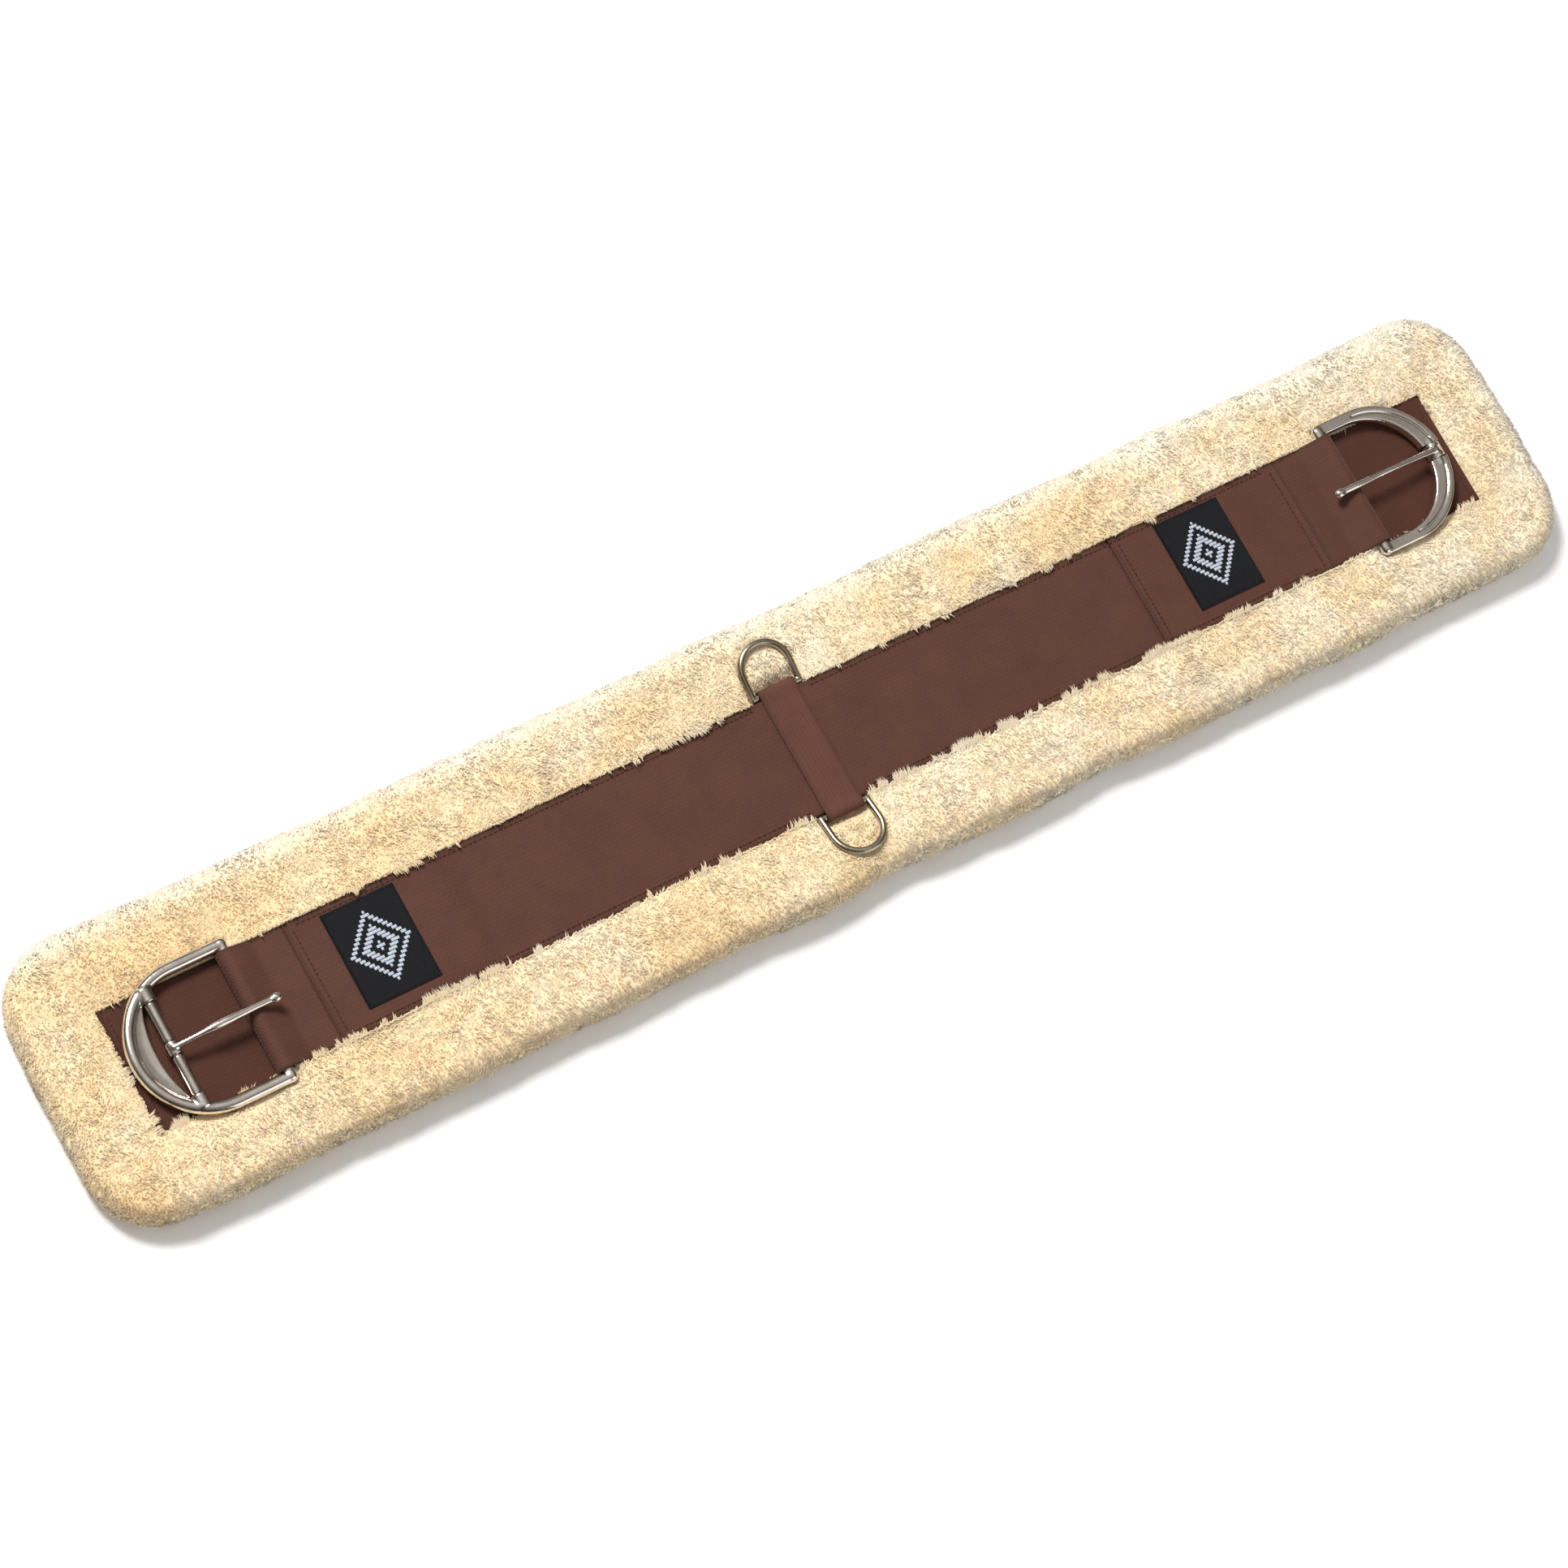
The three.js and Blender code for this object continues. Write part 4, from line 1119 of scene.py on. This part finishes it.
# ---- Buckles ----
def to_near_frame(points):
    """The near buckle's frame: heel bar, arms, round end, dished plate and ears for the crossbar."""
    heel = to_segment(points, *cross_bar(-HEEL_X, -ARM_Y, ARM_Y), HEEL_R)
    ring = to_arc_wire(points, (-NEAR_ARC_X, 0, HEEL_Z), ARM_Y, HEEL_R, (-1, 0, 0))
    for edge in (FRONT, REAR):
        arm = (-HEEL_X, edge * ARM_Y, HEEL_Z), (-NEAR_ARC_X, edge * ARM_Y, HEEL_Z)
        ring = np.minimum(ring, to_segment(points, *arm, HEEL_R))
    rim = blended(heel, ring, 0.8)
    plan = np.hypot(points[:, 0] + NEAR_ARC_X, points[:, 1]) - ARM_Y
    edge_x = -(PLATE["edge_x"] - PLATE["edge_r"])
    inner = PLATE["edge_r"] - np.hypot(points[:, 0] - edge_x, points[:, 1])
    outline = np.maximum(plan, inner)
    dish = 1.1 * smooth_step(-plan, 0, 9)
    sunk = points + Z * dish[:, None]
    plate = to_slab(sunk, outline, HEEL_Z - PLATE["half"] + 0.6, HEEL_Z + PLATE["half"], 0.6)
    rim = blended(rim, plate, 0.7)
    for edge in (FRONT, REAR):
        ear_ends = cross_bar(-CROSSBAR_X, edge * BOSS["start"], edge * BOSS["end"])
        rim = blended(rim, to_bar(points, *ear_ends, BOSS["radius"], 1.0), 1.2)
    hole_end = CROSSBAR_HALF + 0.3
    hole = to_segment(points, *cross_bar(-CROSSBAR_X, -hole_end, hole_end), CROSSBAR_R + 0.2)
    return without(rim, hole, 0.2)


def to_off_frame(points):
    """The off buckle's frame: a flat band, broad at its round end, with a neck for the tongue."""
    x, y, z = points.T
    outer_x, inner_x = OFF_BAND["outer_x"], OFF_BAND["inner_x"]
    outer = np.where(x > outer_x, np.hypot(x - outer_x, y), np.abs(y)) - OFF_BAND["outer_r"]
    inner = OFF_BAND["inner_r"] - np.where(x > inner_x, np.hypot(x - inner_x, y), np.abs(y))
    outline = np.maximum(np.maximum(outer, inner), HEEL_X - x)
    band = to_slab(points, outline, HEEL_Z - OFF_BAND["half"], HEEL_Z + OFF_BAND["half"], 1.5)
    heel = to_segment(points, *cross_bar(HEEL_X, -ARM_Y, ARM_Y), HEEL_R)
    from_groove = np.hypot(x - outer_x, y) - (OFF_BAND["outer_r"] - OFF_GROOVE["inset"])
    groove = np.hypot(from_groove, z - HEEL_Z - OFF_BAND["half"]) - OFF_GROOVE["radius"]
    groove = np.maximum(groove, outer_x - x)
    band = without(band, groove, 0.3)
    notch = np.maximum(np.abs(y) - NECK["half"], np.abs(x - NECK_X) - 12)
    band = without(blended(band, heel, 1.0), notch, 0.5)
    end = NECK["half"] + 2
    neck = to_segment(points, *cross_bar(NECK_X, -end, end), NECK["radius"])
    return blended(band, neck, 0.9)


def shank_line(side, pivot_x, eye):
    """Points along a tongue's shank, from its eye to its tip, and the shank's radius at each."""
    top = HEEL_Z + FOLD_R + STRAP_THICKNESS / 2 + CLEARANCE + SHANK_HALF
    root = HEEL_Z + eye["outer"] - 0.8
    knots = np.array([
        (pivot_x, root),
        (pivot_x - 14, max(root, HEEL_Z + 0.72 * (top - HEEL_Z))),
        ((pivot_x + HEEL_X) / 2, HEEL_Z + 0.93 * (top - HEEL_Z)),
        (HEEL_X, top),
        (TIP_X[side], top - 0.4),
    ])
    xs = np.linspace(pivot_x, TIP_X[side], 36)
    zs = np.interp(-xs, -knots[:, 0], knots[:, 1])
    for _ in range(6):
        zs[1:-1] = (zs[:-2] + zs[1:-1] * 2 + zs[2:]) / 4
    share = np.linspace(0, 1, len(xs))
    if side == NEAR:
        radius = 1.6 + 0.9 * smooth_step(share, 0.25, 0.42) - 0.75 * smooth_step(share, 0.5, 0.85)
    else:
        radius = 1.9 - 0.2 * smooth_step(share, 0.1, 0.4) + 0.55 * smooth_step(share, 0.6, 0.85)
    return np.stack([side * xs, 0 * xs, zs], axis=1), radius


def to_tongue(side, pivot_x, eye):
    """A function giving the distance to a tongue: its eye, a shank that swells, and its round tip."""
    line, radius = shank_line(side, pivot_x, eye)
    tip = line[-1]

    def distance(points):
        shank = np.full(len(points), 99.0)
        for start, end, first, last in zip(line, line[1:], radius, radius[1:]):
            share, away = along_segment(points, start, end)
            shank = np.minimum(shank, away - first - share * (last - first))
        ball = np.linalg.norm((points - tip) * [0.8, 1, 1.12], axis=1) - TIP_R * 0.95
        solid = blended(shank, ball, 1.0)
        ring_ends = cross_bar(side * pivot_x, -eye["half"], eye["half"])
        solid = blended(solid, to_bar(points, *ring_ends, eye["outer"], 0.8), 1.3)
        bore = np.hypot(points[:, 0] - side * pivot_x, points[:, 2] - HEEL_Z) - eye["inner"]
        return without(solid, bore, 0.3)

    return distance


def to_roller(edge):
    """A function giving the distance to the roller in front of the tongue or behind it."""
    ends = cross_bar(-CROSSBAR_X, edge * ROLLER["start"], edge * ROLLER["end"])

    def distance(points):
        sleeve = to_bar(points, *ends, ROLLER["outer"], 0.35)
        bore = np.hypot(points[:, 0] + CROSSBAR_X, points[:, 2] - HEEL_Z) - ROLLER["inner"]
        return without(sleeve, bore, 0.15)

    return distance


def to_dee(edge):
    """A welded wire dee, lying at its resting tilt."""
    tilt = edge * DEE["tilt"]
    turn = np.array(Matrix.Rotation(tilt, 3, "X"))
    pivot = np.array([DEE_X, edge * DEE_Y, DEE_Z])

    def distance(points):
        level = (points - pivot) @ turn
        half, leg, radius = DEE["half"], DEE["leg"], DEE["wire"]
        bar = to_segment(level, (-half, 0, 0), (half, 0, 0), radius)
        for x in (-half, half):
            bar = blended(bar, to_segment(level, (x, 0, 0), (x, edge * leg, 0), radius), 0.5)
        return np.minimum(bar, to_arc_wire(level, (0, edge * leg, 0), half, radius, (0, edge, 0)))

    return distance


def make_metal(name, distance, node, body, cell, material=steel):
    """A metal piece from its distance function. The cell is the size of its quads."""
    low, high = node_box(node)
    piece = new_object(name, *contour(distance, low - 0.6, high + 0.6, cell), material)
    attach(piece, body)
    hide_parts(node)


def make_buckles():
    make_metal("near_frame", to_near_frame, "near_buckle_frame", "near_buckle", 0.55)
    make_metal("off_frame", to_off_frame, "off_buckle_frame", "off_buckle", 0.55)
    make_metal("near_pin", to_tongue(NEAR, CROSSBAR_X, NEAR_EYE), "near_tongue", "near_tongue", 0.4)
    make_metal("off_pin", to_tongue(OFF, NECK_X, OFF_EYE), "off_tongue", "off_tongue", 0.4)
    for edge, edge_name in EDGE_NAMES.items():
        node = f"near_roller_{edge_name}"
        make_metal(f"{edge_name}_sleeve", to_roller(edge), node, node, 0.35)
    ends = cross_bar(-CROSSBAR_X, -CROSSBAR_HALF, CROSSBAR_HALF)

    def to_crossbar(points):
        return to_bar(points, *ends, CROSSBAR_R, 0.4)

    make_metal("crossbar", to_crossbar, "near_crossbar", "near_buckle", 0.4)


def make_dees():
    for edge, edge_name in EDGE_NAMES.items():
        node = f"{edge_name}_dee"
        make_metal(f"{edge_name}_wire_dee", to_dee(edge), node, node, 0.45, wire)


# ---- Stage ----
FLOOR_REACH = 12000
FLOOR_FADE = (1.0, 2.6)  # metres from the girth's centre between which the floor turns white
BACKDROP = (2.2, 2.2, 2.2, 1)  # white behind the girth, for the camera's own view alone


def make_floor():
    """A pale floor that fades into the white behind it."""
    made, tree, surface = new_material("floor", {"Roughness": 0.9, "Specular IOR Level": 0.1})
    place = place_of(tree)
    greys = [(0, (0.93, 0.93, 0.93)), (1, (0.96, 0.96, 0.96))]
    tree.links.new(colour_ramp(tree, patches(tree, place, 3.0), greys), surface.inputs["Base Color"])
    surface.inputs["Emission Color"].default_value = (1, 1, 1, 1)
    away = add_node(tree, "VectorMath", {0: place}, operation="LENGTH").outputs["Value"]
    seen = add_node(tree, "LightPath").outputs["Is Camera Ray"]
    glow = maths(tree, "MULTIPLY", from_0_to_1(tree, away, *FLOOR_FADE), seen)
    tree.links.new(glow, surface.inputs["Emission Strength"])
    corners = FLOOR_REACH * np.array([(-1, -1, 0), (1, -1, 0), (1, 1, 0), (-1, 1, 0)])
    new_object("floor", corners, [np.array([[0, 1, 2, 3]])], made)


def make_light(name, direction, distance, size, power, colour):
    lamp = bpy.data.lights.new(name, "AREA")
    lamp.size, lamp.energy, lamp.color = size, power, colour
    made = bpy.data.objects.new(name, lamp)
    towards = Vector(direction).normalized()
    made.location = towards * distance
    made.rotation_euler = towards.to_track_quat("Z", "Y").to_euler()
    bpy.context.scene.collection.objects.link(made)


def make_world():
    """Pale light all round. Polished metal sees a studio with dark corners instead."""
    world = bpy.data.worlds.new("studio")
    world.use_nodes = True
    tree = world.node_tree
    direction = add_node(tree, "TexCoord").outputs["Generated"]
    split = add_node(tree, "SeparateXYZ", {"Vector": direction})
    height = split.outputs["Z"]
    pale = [(0.0, (0.5, 0.46, 0.4)), (0.35, (0.7, 0.7, 0.69)), (1.0, (0.95, 0.96, 1.0))]
    sky = colour_ramp(tree, height, pale)
    uneven = patches(tree, direction, 2.6, 2.0)
    lamp_side = maths(tree, "MULTIPLY", split.outputs["Y"], 0.3)
    clutter = maths(tree, "MULTIPLY", maths(tree, "SUBTRACT", uneven, 0.5), 0.8)
    level = maths(tree, "ADD", height, maths(tree, "ADD", lamp_side, clutter))
    dark = [
        (0.3, (0.07, 0.062, 0.045)),
        (0.55, (0.22, 0.2, 0.15)),
        (0.78, (0.5, 0.46, 0.41)),
        (1.0, (0.98, 0.94, 0.9)),
    ]
    rays = add_node(tree, "LightPath").outputs
    lit = colour_mix(tree, rays["Is Glossy Ray"], sky, colour_ramp(tree, level, dark))
    shown = colour_mix(tree, rays["Is Camera Ray"], lit, BACKDROP)
    tree.links.new(shown, tree.nodes["Background"].inputs["Color"])
    tree.nodes["Background"].inputs["Strength"].default_value = 0.5
    bpy.context.scene.world = world


CAMERA = {"azimuth": -65.76, "elevation": 65.24, "roll": 38.17, "distance": 2935.7}
TARGET = np.array([-29.8, -8.3, 0])
LENS = 115.53


def make_camera():
    azimuth, elevation, roll = (math.radians(CAMERA[key]) for key in ("azimuth", "elevation", "roll"))
    back = Vector((
        math.sin(azimuth) * math.cos(elevation),
        -math.cos(azimuth) * math.cos(elevation),
        math.sin(elevation),
    ))
    right = Vector((math.cos(azimuth), math.sin(azimuth), 0))
    up = back.cross(right)
    rolled_right = right * math.cos(roll) + up * math.sin(roll)
    rolled_up = up * math.cos(roll) - right * math.sin(roll)
    lens = bpy.data.cameras.new("camera")
    lens.sensor_width, lens.lens = 36, LENS
    lens.clip_start, lens.clip_end = 0.1, 50
    made = bpy.data.objects.new("camera", lens)
    turn = Matrix((rolled_right, rolled_up, back)).transposed()
    place = Vector(TARGET * MM) + back * CAMERA["distance"] * MM
    made.matrix_world = Matrix.Translation(place) @ turn.to_4x4()
    bpy.context.scene.collection.objects.link(made)
    bpy.context.scene.camera = made


bpy.context.scene.view_settings.view_transform = "Standard"
make_camera()
make_world()
make_floor()
LIGHTS = {
    "key": {"direction": (-0.35, 0.85, 1.15), "distance": 4.5, "size": 1.35, "power": 245,
            "colour": (1.0, 0.985, 0.97)},
    "fill": {"direction": (0.4, -1.0, 0.5), "distance": 3.0, "size": 2.2, "power": 20,
             "colour": (0.98, 0.99, 1.0)},
}
for name, values in LIGHTS.items():
    make_light(name, **values)
for side in (NEAR, OFF):
    make_fleece(side)
    make_felt(side)
    make_strap_layers(side)
    make_loop(side)
    make_label(side)
make_keeper()
make_stitching()
make_buckles()
make_dees()
CENTRE_NODES = {
    "fleece_cover_centre": "off_fleece",
    "felt_core_centre": "off_felt",
    "base_web_centre": "off_base_web",
    "main_strap_centre": "off_main_strap",
}
for node, owner in CENTRE_NODES.items():
    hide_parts(node)
